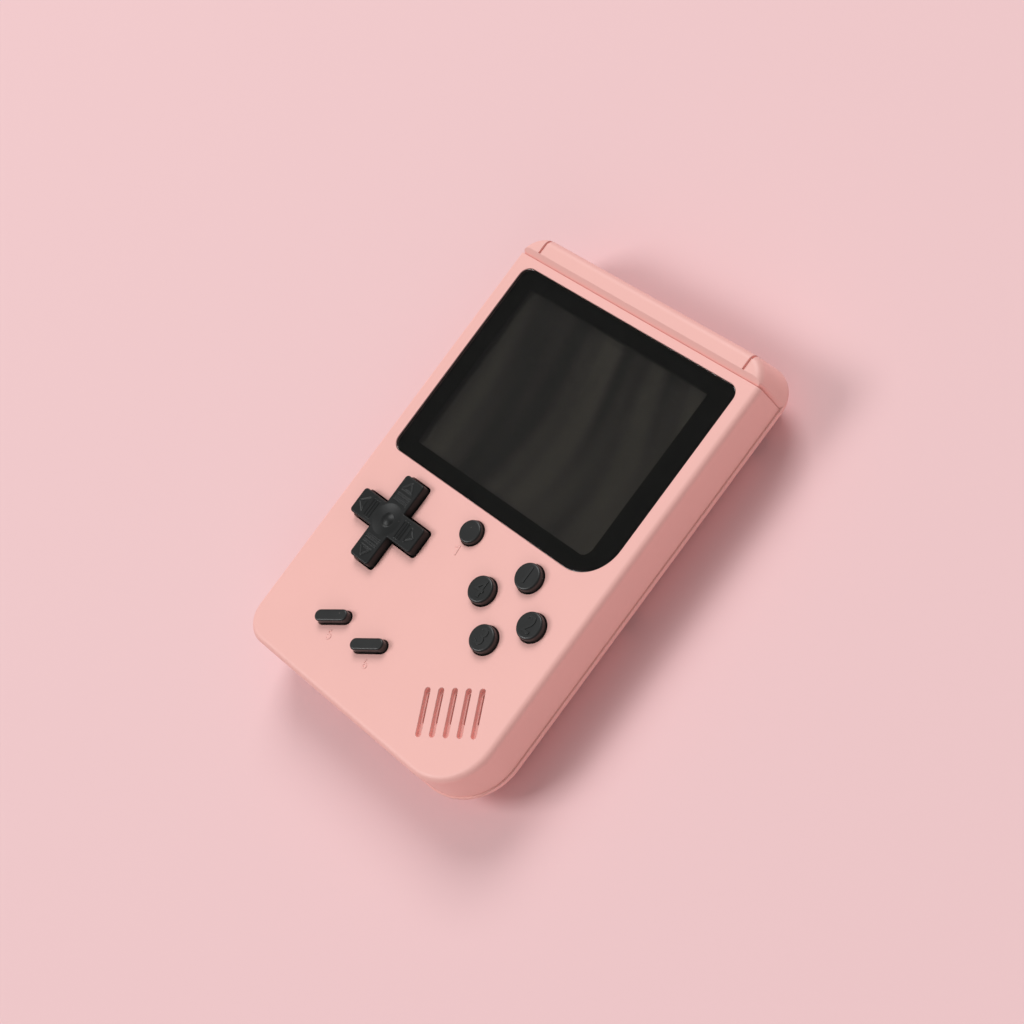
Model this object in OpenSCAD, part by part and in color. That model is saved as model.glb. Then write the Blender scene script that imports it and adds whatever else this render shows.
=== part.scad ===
// Slab handheld game console, lying on its back with the screen up.
// Origin: middle of the rest face, +X to the player's right, +Y to the ridge, +Z out of the screen.

/* [Case] */
// width over the rim of the back shell
case_w = 81; // [74:0.5:90]
// length from the bottom rim to the rim at the ridge
case_l = 118.6; // [110:0.1:130]
// height of the front face above the rest face
face_z = 19; // [18:0.25:22]
// height of the line where the two shells meet
split_z = 9.25; // [8.5:0.25:10]
// wall thickness of the shells
wall = 2.2; // [1.8:0.1:2.6]
// radius of the three small corners at the rim
corner_r = 7.7; // [7.7:0.1:10]
// radius of the large bottom right corner at the rim
big_corner_r = 15.1; // [12:0.1:18]
// rounding between the front face and the sides
edge_r = 1.5; // [0.8:0.1:2.5]
// step of the front shell inside the rim at the split
rim_step = 0.4; // [0.2:0.1:0.8]
// how far the sides of the front shell lean in
side_lean = 0.5; // [0.2:0.1:1.2]
// length of the face that holds the controls, from the bottom rim to the lens
control_l = 56.05; // [54:0.05:60]

/* [Ridge] */
// length of the ridge with its foot, from the top rim to the end of the front shell
ridge_l = 7.4; // [7:0.1:9]
// height of the ridge above the front face
ridge_h = 0.9; // [0.4:0.1:2]
// length of the slope at the foot of the ridge
ridge_foot = 1.55; // [1:0.05:2.5]
// how far the ridge leans in from the split to its top
ridge_lean = 1.7; // [1:0.1:2.5]
// rounding of the ridge's outer edges
ridge_edge_r = 2; // [1:0.1:2.6]
// distance of each short groove from the middle
groove_x = 33.6; // [28:0.1:36]
// width of each short groove
groove_w = 0.7; // [0.4:0.1:1.2]
// depth of each short groove
groove_d = 0.5; // [0.3:0.1:0.8]

/* [Screen] */
// distance of the clear lens from the side rims
lens_side = 5.05; // [4.5:0.05:6]
// distance of the lens from the ridge
lens_end = 2.25; // [1.8:0.05:3]
// thickness of the lens
lens_t = 1; // [0.8:0.1:1.2]
// small corner radius of the lens
lens_r = 2.8; // [1:0.1:5]
// large bottom right corner radius of the lens
lens_big_r = 9.7; // [6:0.1:14]
// width of the black border beside the display
border_w = 5.75; // [4:0.05:7]
// height of the black border above and below the display
border_h = 4.15; // [3:0.05:6]
// shift of the window from the lens's middle to the left
window_dx = 0.8; // [0:0.1:2]

/* [Buttons] */
// distance of the direction pad from the left rim
pad_side = 19.6; // [18:0.1:22]
// distance of the direction pad and the action buttons from the bottom rim
pad_end = 41.35; // [39:0.05:43]
// half length of the direction pad
pad_arm = 11.2; // [9:0.1:12]
// half width of one arm of the direction pad
pad_half_w = 3.3; // [2.8:0.1:4]
// height of the direction pad above the front face
pad_h = 2.35; // [1.8:0.05:3]
// distance of the action buttons' middle from the right rim
action_side = 19.8; // [18:0.1:22]
// distance of each action button from their middle
action_ring = 8.3; // [7.5:0.1:9]
// radius of an action button
action_r = 3.3; // [2.8:0.1:3.8]
// height of an action button above the front face
action_h = 1.8; // [1.4:0.1:2.5]
// radius of the reset button
reset_r = 2.9; // [2.2:0.1:3.4]
// height of the reset button above the front face
reset_h = 1.35; // [1.2:0.05:2]
// distance of the reset button from the bottom rim
reset_end = 50.3; // [49:0.1:51]
// length of the select and start buttons
menu_l = 9.1; // [8:0.1:11]
// end radius of the select and start buttons
menu_r = 1.45; // [1.2:0.05:1.8]
// height of the select and start buttons above the front face
menu_h = 2; // [1.4:0.1:2.4]
// slant of the select and start buttons in degrees
menu_slant = 30.4; // [20:0.1:40]
// distance of the select button from the left rim
select_side = 22.85; // [21:0.05:25]
// distance of the start button from the left rim
start_side = 36.4; // [35:0.05:38]
// distance of the select and start buttons from the bottom rim
menu_end = 16.3; // [14:0.1:18]
// travel of every push button
travel = 0.9; // [0.5:0.1:1]
// clearance round every push button
button_gap = 0.3; // [0.3:0.05:0.5]
// clearance round the direction pad
pad_gap = 0.4; // [0.35:0.05:0.6]

/* [Speaker] */
// distance of the speaker from the right rim
speaker_side = 15.7; // [15:0.1:18]
// distance of the speaker from the bottom rim
speaker_end = 16.1; // [15.5:0.1:16.5]
// outer radius of the speaker
speaker_r = 11.3; // [9:0.1:11.5]
// number of slanted slots over the speaker
slot_count = 5; // [3:1:6]
// distance between two slots
slot_pitch = 3.55; // [3:0.05:4]
// length of a slot over its round ends
slot_l = 11.4; // [9:0.1:13]
// width of a slot
slot_w = 1.5; // [1:0.1:2]

/* [Sides] */
// radius of the volume wheel
wheel_r = 7; // [6:0.1:7.5]
// thickness of the volume wheel
wheel_t = 2.2; // [1.6:0.1:2.4]
// distance of the volume wheel from the ridge
wheel_end = 21.9; // [19:0.1:26]
// travel of the power switch
power_travel = 2.5; // [2:0.1:3]
// distance of the power switch from the ridge
power_end = 39.9; // [38:0.1:44]
// bore radius of the audio and video socket
jack_r = 1.8; // [1.75:0.01:1.9]
// depth of the audio and video socket
jack_depth = 14; // [12:0.5:15]
// distance of the audio and video socket from the left rim
jack_side = 31.5; // [29:0.5:34]
// distance of the charging socket from the left rim
usb_side = 18.5; // [17:0.5:21]

/* [Battery] */
// width of the battery
battery_w = 34; // [30:0.5:35]
// length of the battery
battery_l = 53; // [48:0.5:54]
// thickness of the battery
battery_t = 5.5; // [4:0.1:5.6]

/* [Hidden] */
$fn = 64;

half_w = case_w / 2;
half_l = case_l / 2;
seam_y = half_l - ridge_l;
lens_w = case_w - 2 * lens_side;
lens_h = case_l - control_l - ridge_l - lens_end;
lens_y = seam_y - lens_end - lens_h / 2;
window_w = lens_w - 2 * border_w;
window_h = lens_h - 2 * border_h;
pad_x = half_w - pad_side;
pad_y = half_l - pad_end;
action_x = half_w - action_side;
reset_y = half_l - reset_end;
menu_y = half_l - menu_end;
speaker_x = half_w - speaker_side;
speaker_y = half_l - speaker_end;
wheel_y = seam_y - wheel_end;
power_y = seam_y - power_end;
jack_x = half_w - jack_side;
usb_x = half_w - usb_side;
big = 200;
fit = 0.05;
eps = 0.01;

// heights inside the case, from the roof of the front shell down
roof_z = face_z - wall;
lens_sink = 0.1;
tape_t = 0.05;
lens_z = face_z - lens_sink - lens_t;
lens_floor = lens_z - tape_t;
board_depth = 6.6;
board_top = face_z - board_depth;
board_t = 1.2;
board_bottom = board_top - board_t;
flange_gap = 0.5;
flange_t = 1;
flange_rim = 1.1;
flange_z = roof_z - flange_gap - flange_t;
plunger_z = board_top + travel + button_gap;
sheet_t = 0.5;
menu_sheet_rim = 2.2;
collar_wall = 0.8;
menu_flange = 0.95;
collar_top = flange_z - travel - 0.4;
floor_t = 2.2;

// section of the back shell: a lip, a round, a slope and a round into the flat back
lip_h = 0.25;
lip_z = split_z - lip_h;
lip_r = 3;
belly_r = 3.5;
// corner radius that is left on the flat of the back
foot_corner = 0.1;
belly_inset = corner_r - foot_corner;
round_dx = belly_inset - lip_r;
round_dz = lip_z - belly_r;
belly_slope = acos((belly_r - lip_r) / norm([round_dx, round_dz])) - atan(round_dz / round_dx);

// ridge: its own rim is a little outside the rim of the case
ridge_out = 0.35;
ridge_top = face_z + ridge_h;
ridge_angle = atan(ridge_lean / (ridge_top - split_z));
front_angle = atan(side_lean / (face_z - split_z));
ridge_r = 8;
// the foot of the ridge starts this far below the front face and inside the ridge's own side
ridge_sink = 0.6;
ridge_side_cut = 0.9;
groove_cut = 10;

// screws: the place of each and the way that its well runs out through the slope
screw_inset = 4.9;
screw_side_x = half_w - screw_inset;
screw_end_y = half_l - screw_inset;
screw_corner = 8;
screw_top_y = seam_y - 7.9;
screw_mid_y = seam_y - 55.9;
SCREWS = [[-screw_side_x, screw_top_y, 180], [screw_side_x, screw_top_y, 0],
    [-screw_side_x, screw_mid_y, 180], [screw_side_x, screw_mid_y, 0],
    [screw_corner - half_w, screw_corner - half_l, 225], [4, -screw_end_y, 270]];
board_screw_r = 0.8;
board_boss_r = 2;
board_head_r = 1.5;
board_head_t = 1;
board_screw_side = 5.9;
board_screw_end = 24.6;
board_screw_step = 7.7;
board_screw_y = half_l - board_screw_end;
tip_gap = 2;
// the screw by the speaker stands clear of its basket
clear_r = speaker_r + board_boss_r + 0.6;
clear_angle = 44;
BOARD_SCREWS = [[board_screw_side - half_w, -board_screw_y],
    [speaker_x + clear_r * cos(clear_angle), clear_r * sin(clear_angle) - speaker_y],
    [0, board_screw_step - board_screw_y]];
screw_seat = 4.9;
screw_head_r = 1.8;
screw_head_t = 1.3;
driver_l = 2.2;
driver_w = 0.5;
driver_depth = 0.6;
screw_r = 0.95;
boss_r = 2.2;
post_r = 2.9;

// parts of the lens and display stack
lens_gap = 0.1;
tape_inset = 1;
window_grow = 1.5;
panel_w = window_w + 4;
panel_h = window_h + 2.4;
panel_t = 2.2;
panel_z = roof_z - 0.2 - panel_t;
frame_wall = 0.6;
frame_lip = 1.2;
frame_rail = 6;
ribbon_x = 5;
ribbon_w = 10;
film_t = 0.2;
ribbon_z = board_top + 0.7;

// rubber plungers under the buttons
action_plunger_r = action_r - 0.3;
reset_plunger_r = reset_r - 0.3;
menu_plunger_r = 2;

// places of the select and start buttons, left and right
MENU_X = [select_side - half_w, start_side - half_w];

// direction pad
pivot_z = face_z - 1.6;
ball_r = 1.7;
cap_t = 0.65;
pad_flange = pad_arm + 1.2;
pad_flange_z = pivot_z - 3;
pad_plunger_ring = pad_arm - 3.2;
pad_plunger_r = 2.2;
pad_plunger_h = 0.5;
pad_relief = 0.25;
pad_flange_t = 0.9;
pad_flange_rim = 1.3;
dish_r = 4.2;
dish_depth = 0.6;
dome_r = 2.4;
post_shaft_r = 1;
post_foot_r = 1.8;

// battery room and cover
room_gap = 0.4;
room_wall = 1.4;
contact_room = 2.3;
contact_t = 0.7;
contact_w = 1.2;
contact_pitch = 4;
contact_gap = 1.1;
contact_h = 1.6;
cover_ledge = 1.6;
dent_r = 6;
dent_depth = 1.4;
grip_l = 16;
battery_y = seam_y - 42.2;
battery_z = 2.2;
room_top = battery_z + battery_t + 0.3;
cover_t = 1.6;
cover_side = 3.3;
cover_end = 5.1;
cover_w = battery_w + 2 * cover_side;
cover_l = battery_l + 2 * cover_end;
cover_gap = 0.3;
cover_y = battery_y + 0.1;

// speaker and the slots over it
magnet_r = speaker_r - 4.9;
basket_hole = magnet_r - 1.4;
basket_t = 0.6;
slot_depth = 1.1;
slit_shift = 1.2;
slit_short = 4.4;
slit_r = 0.35;

// side controls
control_out = 0.25;
wheel_x = -(half_w + control_out - wheel_r);
wheel_gap = 0.3;
wheel_z = split_z - 1.2;
shaft_r = 1.6;
pot_r = wheel_r - 3.2;
thumb_r = 10;
knob_z = split_z + 0.35;
knob_l = 4;
knob_h = 2;
knob_t = 3.9;
stem_l = 1.6;
stem_h = 1.1;
switch_l = 9;
switch_h = 3.2;
switch_x = 4;
finger_l = 1.3;

// sockets
jack_body_r = 2.6;
jack_z = board_bottom - jack_body_r - 0.1;
jack_in = 0.5;
jack_nose = 4;
jack_block_w = 6;
jack_block_h = 5;
jack_end_t = 1.3;
usb_r = 1.3;
usb_w = 7.5;
usb_skin = 0.3;
usb_l = 5.6;
usb_in = 1.2;
usb_z = board_bottom - usb_r;
socket_gap = 0.35;
socket_cut = 6;

// chips and other parts on the underside of the board
chip_x = half_w - 16.5;
can_x = half_w - 10.5;
can_y = battery_y - 5.7;
chip_y = battery_y + 2.3;
memory_y = battery_y + 17.3;
small_chip_y = battery_y - 23.7;
capacitor_y = -pad_y - 2;
chip_t = 1.4;
chip_w = 10;
memory_w = 8;
memory_l = 12;
memory_t = 1.1;
small_chip_w = 5;
small_chip_l = 4;
can_l = 10;
can_r = 2.2;
can_h = 1.5;
capacitor_r = 2;
capacitor_h = 1.7;
capacitor_pitch = 7;

// joint of the shells and stiffening ribs
tongue_t = 1;
tongue_h = 1.1;
tongue_gap = 0.1;
ledge_h = 1.6;
ledge_out = 0.8;
rib_t = 1;
rib_top = 4;
RIB_Y = [battery_y - 23, battery_y - 4, battery_y + 15];

// rectangle between two corners with four corner radii, lower left first and then round to upper left
module plan(x0, x1, y0, y1, r) {
    polygon([[x0 + r[0], y0], [x1 - r[1], y0], [x1, y0 + r[1]], [x1, y1 - r[2]],
        [x1 - r[2], y1], [x0 + r[3], y1], [x0, y1 - r[3]], [x0, y0 + r[0]]]);
    translate([x0 + r[0], y0 + r[0]]) circle(r[0]);
    translate([x1 - r[1], y0 + r[1]]) circle(r[1]);
    translate([x1 - r[2], y1 - r[2]]) circle(r[2]);
    translate([x0 + r[3], y1 - r[3]]) circle(r[3]);
}

module slab(x0, x1, y0, y1, r, z0, z1) {
    translate([0, 0, z0]) linear_extrude(z1 - z0) plan(x0, x1, y0, y1, r);
}

module pill2d(l, r) {
    square([l - 2 * r, 2 * r], center = true);
    translate([l / 2 - r, 0]) circle(r);
    translate([r - l / 2, 0]) circle(r);
}

// one corner of a body whose section is the child, drawn with its rim at x = 0
module swept_corner(r, turn) {
    rotate([0, 0, turn]) rotate_extrude(angle = 90)
        intersection() {
            translate([r, 0]) children();
            translate([0, -big / 2]) square(big);
        }
}

// one straight side of such a body, running along +Y from its start
module swept_side(r, l) {
    rotate([90, 0, 180]) linear_extrude(l)
        intersection() {
            translate([r, 0]) children();
            translate([0, -big / 2]) square(big);
        }
}

// the child section carried round a rectangle with one large corner at the lower right
module swept(x0, x1, y0, y1, r, rb, z0, z1) {
    translate([x0 + r, y0 + r, 0]) swept_corner(r, 180) children();
    translate([x1 - rb, y0 + rb, 0]) swept_corner(rb, 270) children();
    translate([x1 - r, y1 - r, 0]) swept_corner(r, 0) children();
    translate([x0 + r, y1 - r, 0]) swept_corner(r, 90) children();
    translate([x1 - rb, y0 + rb, 0]) mirror([1, 0, 0]) swept_side(rb, y1 - y0 - r - rb) children();
    translate([x0 + r, y0 + r, 0]) swept_side(r, y1 - y0 - 2 * r) children();
    translate([x0 + r, y0 + rb, 0]) rotate([0, 0, 90]) mirror([0, 1, 0])
        swept_side(rb, x1 - x0 - r - rb) children();
    translate([x0 + r, y1 - r, 0]) rotate([0, 0, -90]) swept_side(r, x1 - x0 - 2 * r) children();
    translate([x0 + r, y0 + rb, z0]) cube([x1 - x0 - r - rb, y1 - y0 - r - rb, z1 - z0]);
}

// section of a wall that leans in by an angle and is rounded into its top
module leaning_section(z0, z1, inset, angle, r) {
    foot = inset - (z1 - z0) * tan(angle);
    cx = -inset - r * (1 - sin(angle)) / cos(angle);
    polygon([[-big, z0], [-foot, z0], [cx + r * cos(angle), z1 - r + r * sin(angle)],
        [cx, z1], [-big, z1]]);
    translate([cx, z1 - r]) circle(r);
}

module front_section() {
    leaning_section(split_z, face_z, rim_step + side_lean, front_angle, edge_r);
}

module ridge_section() {
    leaning_section(split_z - eps, ridge_top, ridge_lean, ridge_angle, ridge_edge_r);
}

module belly_section() {
    slope_x = lip_r * (1 - cos(belly_slope));
    polygon([[-big, split_z], [0, split_z], [0, lip_z],
        [-slope_x, lip_z - lip_r * sin(belly_slope)],
        [-belly_inset + belly_r * cos(belly_slope), belly_r * (1 - sin(belly_slope))],
        [-belly_inset, 0], [-big, 0]]);
    intersection() {
        translate([-lip_r, lip_z]) circle(lip_r);
        translate([-2 * lip_r, lip_z - lip_r]) square([2 * lip_r, lip_r]);
    }
    intersection() {
        translate([-belly_inset, belly_r]) circle(belly_r);
        translate([-belly_inset - belly_r, 0]) square([2 * belly_r, belly_r]);
    }
}

// hollow of the back shell, one wall inside its outer section
module belly_hollow_section() {
    dx = wall * cos(belly_slope);
    dz = wall * sin(belly_slope);
    top_x = lip_r * (1 - cos(belly_slope)) + dx;
    top_z = lip_z - lip_r * sin(belly_slope) + dz;
    polygon([[-big, split_z + 1], [-top_x, split_z + 1], [-top_x, top_z],
        [-top_x - (top_z - floor_t) * tan(belly_slope), floor_t], [-big, floor_t]]);
}

module case_swept(r, rb, z0, z1) {
    swept(-half_w, half_w, -half_l, half_l, r, rb, z0, z1) children();
}

cav_x = half_w - rim_step - wall;
cav_y = half_l - rim_step - wall;
cav_r = corner_r - rim_step - wall;
cav_big_r = big_corner_r - rim_step - wall;
inner_seam = seam_y - 2;
cav_corner = 2;

// a rectangle as wide as the lens with its one large corner, grown by a gap
module lens_plan(gap) {
    plan(-lens_w / 2 - gap, lens_w / 2 + gap, lens_y - lens_h / 2 - gap, lens_y + lens_h / 2 + gap,
        [lens_r + gap, lens_big_r + gap, lens_r + gap, lens_r + gap]);
}

module window_plan(grow) {
    w = window_w / 2 + grow;
    h = window_h / 2 + grow;
    translate([-window_dx, lens_y]) plan(-w, w, -h, h, [0.5, 0.5, 0.5, 0.5]);
}

// outline of the direction pad, grown by a gap, with softened corners
module cross_plan(arm, half, r) {
    plan(-arm, arm, -half, half, [r, r, r, r]);
    plan(-half, half, -arm, arm, [r, r, r, r]);
}

// places of the four action buttons: top, right, bottom, left
module at_action(i) {
    a = 90 - 90 * i;
    translate([action_x + action_ring * cos(a), -pad_y + action_ring * sin(a), 0]) children();
}

module at_pad() {
    translate([-pad_x, -pad_y, 0]) children();
}

// places of the select and start buttons
module at_menu(i) {
    translate([MENU_X[i], -menu_y, 0]) rotate([0, 0, menu_slant]) children();
}

module at_speaker() {
    translate([speaker_x, -speaker_y, 0]) children();
}

module at_each(places) {
    for (p = places) translate([p[0], p[1], 0]) children();
}

module tube(r, hole, z0, z1) {
    translate([0, 0, z0]) difference() {
        cylinder(r = r, h = z1 - z0);
        translate([0, 0, -1]) cylinder(r = hole, h = z1 - z0 + 2);
    }
}

module rod(r, z0, z1) {
    translate([0, 0, z0]) cylinder(r = r, h = z1 - z0);
}

// slanted slots: a wide shallow groove with a narrow slit through its floor
module speaker_slots() {
    at_speaker() rotate([0, 0, menu_slant]) for (i = [0:slot_count - 1])
        translate([(i - (slot_count - 1) / 2) * slot_pitch, 0, 0]) {
            translate([0, 0, face_z - slot_depth]) linear_extrude(2) rotate([0, 0, 90])
                pill2d(slot_l, slot_w / 2);
            translate([0, slit_shift, roof_z - 1]) linear_extrude(wall + 1) rotate([0, 0, 90])
                pill2d(slot_l - slit_short, slit_r);
        }
}

// everything on the sides that both shells open for
module side_openings() {
    translate([wheel_x, wheel_y, wheel_z - wheel_gap])
        cylinder(r = wheel_r + wheel_gap + fit, h = wheel_t + 2 * wheel_gap);
    translate([-half_w - thumb_r + 0.8, wheel_y, wheel_z - 2.85]) cylinder(r = thumb_r, h = 8);
    knob_opening(wheel_gap, socket_cut);
    knob_opening(finger_l, 1.7);
    at_bottom(-jack_x, jack_z) cylinder(r = jack_body_r + socket_gap, h = socket_cut);
    at_bottom(-usb_x, usb_z) linear_extrude(socket_cut)
        pill2d(usb_w + 2 * socket_gap, usb_r + socket_gap);
    at_bottom(-usb_x, usb_z) linear_extrude(1.9)
        pill2d(usb_w + 2 * finger_l, usb_r + finger_l);
}

// the slot that the power knob moves in, grown by a gap
module knob_opening(gap, depth) {
    translate([-half_w - 1, power_y - knob_l / 2 - gap, knob_z - knob_h / 2 - gap])
        cube([depth, knob_l + power_travel + 2 * gap, knob_h + 2 * gap]);
}

// a place just outside the bottom side, with +Z turned into the case
module at_bottom(x, z) {
    translate([x, -half_l - 1, z]) rotate([-90, 0, 0]) children();
}

module front_shell() {
    color([0.96, 0.71, 0.67]) difference() {
        union() {
            difference() {
                case_swept(corner_r, big_corner_r, split_z, face_z) front_section();
                translate([-big / 2, seam_y, 0]) cube(big);
                slab(-cav_x, cav_x, -cav_y, inner_seam, [cav_r, cav_big_r, cav_corner, cav_corner],
                    split_z - 1, roof_z);
            }
            intersection() {
                slab(-cav_x - 0.5, cav_x + 0.5, -cav_y - 0.5, inner_seam + 0.5,
                    [cav_r, cav_big_r, cav_corner, cav_corner], split_z, roof_z + 0.5);
                front_bosses();
            }
        }
        translate([0, 0, lens_floor]) linear_extrude(5) lens_plan(lens_gap);
        translate([0, 0, roof_z - 1]) linear_extrude(5) window_plan(window_grow);
        at_pad() translate([0, 0, roof_z - 1]) linear_extrude(5)
            cross_plan(pad_arm + pad_gap, pad_half_w + pad_gap, 1);
        for (i = [0:3]) at_action(i) rod(action_r + button_gap, roof_z - 1, face_z + 1);
        translate([0, -reset_y, 0]) rod(reset_r + button_gap, roof_z - 1, face_z + 1);
        for (i = [0:1]) at_menu(i) translate([0, 0, roof_z - 1]) linear_extrude(5)
            pill2d(menu_l + 2 * button_gap, menu_r + button_gap);
        speaker_slots();
        side_openings();
        at_each(SCREWS) rod(screw_r + fit, split_z - 1, roof_z - 1.2);
        at_each(BOARD_SCREWS) rod(board_screw_r + fit, board_top - 1, roof_z - 1.2);
    }
}

// posts and rings that stand on the inside of the roof
module front_bosses() {
    at_each(SCREWS) rod(boss_r, split_z, roof_z + 0.4);
    at_each(BOARD_SCREWS) rod(board_boss_r, board_top, roof_z + 0.4);
    at_speaker() tube(speaker_r + 1.4, speaker_r + 0.2, board_top + 2 * basket_t, roof_z + 0.4);
}

// the ridge: a leaning block whose foot slopes down to the end of the front shell
module ridge_block() {
    difference() {
        swept(-half_w - ridge_out, half_w + ridge_out, 0, half_l, ridge_r, ridge_r + 4,
            split_z - eps, ridge_top) ridge_section();
        translate([-big / 2, -1, 0]) cube([big, seam_y + 1.1, big]);
        rotate([90, 0, 90]) translate([0, 0, -big / 2]) linear_extrude(big)
            polygon([[seam_y, face_z - ridge_sink], [seam_y + ridge_foot, ridge_top],
                [seam_y + ridge_foot, big], [seam_y, big]]);
        for (s = [0, 1]) mirror([s, 0, 0])
            translate([half_w + ridge_out, 0, split_z]) rotate([0, -ridge_angle, 0])
                translate([0, 0, -2]) linear_extrude(22) polygon([[-ridge_side_cut, seam_y],
                    [0, seam_y + ridge_foot], [2, seam_y + ridge_foot], [2, seam_y]]);
        for (s = [-1, 1]) translate([s * groove_x - groove_w / 2, seam_y + ridge_foot, 0])
            ridge_groove();
        slab(-half_w + 4.5, half_w - 4.5, seam_y + 1.9, half_l - 3.2, [1, 1, 1, 1],
            split_z - 1, face_z - 2);
    }
}

// one short groove over the top of the ridge and down its outer edge
module ridge_groove() {
    translate([0, 0, ridge_top - groove_d]) cube([groove_w, groove_cut, groove_cut]);
    translate([0, half_l - seam_y - ridge_foot - ridge_lean - groove_d, ridge_top - 4])
        rotate([ridge_angle, 0, 0]) cube([groove_w, 5, 8]);
}

module back_shell() {
    color([0.94, 0.68, 0.64]) difference() {
        union() {
            difference() {
                case_swept(corner_r, big_corner_r, 0, split_z) belly_section();
                case_swept(corner_r, big_corner_r, floor_t, split_z + 1) belly_hollow_section();
            }
            intersection() {
                case_swept(corner_r, big_corner_r, 0, split_z) belly_section();
                back_ribs();
            }
            tongue();
            ridge_block();
        }
        battery_room();
        side_openings();
        for (p = SCREWS) translate([p[0], p[1], -1]) rotate([0, 0, p[2]])
            linear_extrude(screw_seat + 1) screw_well_plan();
        at_each(SCREWS) rod(screw_r + 0.15, screw_seat - 1, split_z + 1);
    }
}

// a round well for a screw head, open on one side where it leaves the sloping wall
module screw_well_plan() {
    r = screw_head_r + 0.3;
    circle(r);
    translate([0, -r]) square([screw_inset, 2 * r]);
}

// screw posts, the walls of the battery room and the ledge that its cover lies on
module back_ribs() {
    at_each(SCREWS) rod(post_r, 0.5, split_z);
    w = battery_w / 2 + room_gap + room_wall;
    translate([-w, battery_y - battery_l / 2 - room_gap - room_wall, 1])
        cube([2 * w, battery_l + room_gap + contact_room + 2 * room_wall, room_top]);
    translate([-cover_w / 2 - cover_ledge, cover_y - cover_l / 2 - cover_ledge, 0.5])
        cube([cover_w + 2 * cover_ledge, cover_l + 2 * cover_ledge, cover_t + cover_ledge]);
    for (y = RIB_Y) translate([-half_w, y, 1]) cube([case_w, rib_t, rib_top - 1]);
}

// a ledge with a tongue on it, just inside the wall of the front shell on three sides
module tongue() {
    difference() {
        union() {
            tongue_ring(-ledge_out, split_z - ledge_h, split_z);
            tongue_ring(tongue_gap, split_z - ledge_h, split_z + tongue_h);
        }
        at_each(SCREWS) rod(boss_r + 0.3, split_z, split_z + 2);
        translate([-jack_x - jack_block_w / 2 - socket_gap, -half_l, 0])
            cube([jack_block_w + 2 * socket_gap, groove_cut, big]);
    }
}

// a ring between an inset from the cavity and the inside of the tongue
module tongue_ring(inset, z0, z1) {
    inner = tongue_gap + tongue_t;
    difference() {
        slab(inset - cav_x, cav_x - inset, inset - cav_y, inner_seam - cav_corner - tongue_gap,
            [cav_r - inset, cav_big_r - inset, 1, 1], z0, z1);
        slab(inner - cav_x, cav_x - inner, inner - cav_y, big,
            [cav_r - inner, cav_big_r - inner, 1, 1], z0 - 1, z1 + 1);
    }
}

module battery_room() {
    w = battery_w / 2 + room_gap;
    translate([-w, battery_y - battery_l / 2 - room_gap, -1])
        cube([2 * w, battery_l + room_gap + contact_room, room_top + 1]);
    slab(-cover_w / 2 - cover_gap, cover_w / 2 + cover_gap, cover_y - cover_l / 2 - cover_gap,
        cover_y + cover_l / 2 + cover_gap, [2, 2, 2, 2], -1, cover_t + fit);
    finger_dent();
    translate([-6, battery_y + battery_l / 2 + 1, room_top - 1]) cube([12, contact_t + 0.2, 2.5]);
}

// dent for a fingernail across the end of the cover
module finger_dent() {
    translate([0, cover_y - cover_l / 2 - 3, dent_depth - dent_r]) rotate([-90, 0, 0])
        cylinder(r = dent_r, h = 6);
}

module battery_cover() {
    color([0.93, 0.67, 0.63]) difference() {
        slab(-cover_w / 2, cover_w / 2, cover_y - cover_l / 2, cover_y + cover_l / 2,
            [1.7, 1.7, 1.7, 1.7], 0, cover_t);
        for (i = [0:4]) translate([-grip_l / 2, cover_y - cover_l / 2 + 6 + 2 * i, -0.6])
            cube([grip_l, 0.9, 1]);
        finger_dent();
    }
}

module screen_lens() {
    color([0.06, 0.06, 0.06]) translate([0, 0, lens_z]) linear_extrude(lens_t) lens_plan(0);
}

module lens_tape() {
    color([0.2, 0.2, 0.22]) translate([0, 0, lens_floor]) linear_extrude(tape_t) difference() {
        lens_plan(-tape_inset);
        window_plan(window_grow);
    }
}

module lcd_panel() {
    color([0.16, 0.15, 0.14]) translate([-window_dx, lens_y, panel_z + panel_t / 2])
        cube([panel_w, panel_h, panel_t], center = true);
}

module lcd_frame() {
    w = panel_w / 2 + frame_wall;
    h = panel_h / 2 + frame_wall;
    color([0.85, 0.85, 0.82]) translate([-window_dx, lens_y, 0]) difference() {
        translate([-w, -h, board_top]) cube([2 * w, 2 * h, panel_z + frame_lip - board_top]);
        translate([-panel_w / 2 - fit, -panel_h / 2 - fit, panel_z])
            cube([panel_w + 2 * fit, panel_h + 2 * fit, 5]);
        translate([frame_rail - w, frame_rail - h, board_top - 1])
            cube([2 * (w - frame_rail), 2 * (h - frame_rail), 5]);
        translate([ribbon_x + window_dx, -h - 1, panel_z]) cube([ribbon_w, 3, 5]);
    }
}

// the film that runs from the panel's edge down into the socket on the board
module lcd_ribbon() {
    y = lens_y - panel_h / 2;
    top = panel_z + 0.3;
    color([0.75, 0.45, 0.15]) {
        translate([ribbon_x, y - 1.2, top]) cube([ribbon_w, 1.2, film_t]);
        translate([ribbon_x, y - 1.2, ribbon_z]) cube([ribbon_w, film_t, top + film_t - ribbon_z]);
        translate([ribbon_x, y - 3, ribbon_z]) cube([ribbon_w, 2, film_t]);
    }
}

module ribbon_socket() {
    y = lens_y - panel_h / 2;
    color([0.9, 0.88, 0.8]) difference() {
        translate([ribbon_x - 0.8, y - 4.7, board_top]) cube([ribbon_w + 1.6, 2.4, 1.4]);
        translate([ribbon_x - fit, y - 3, ribbon_z - 0.02])
            cube([ribbon_w + 2 * fit, 2, film_t + 0.04]);
    }
}

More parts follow.
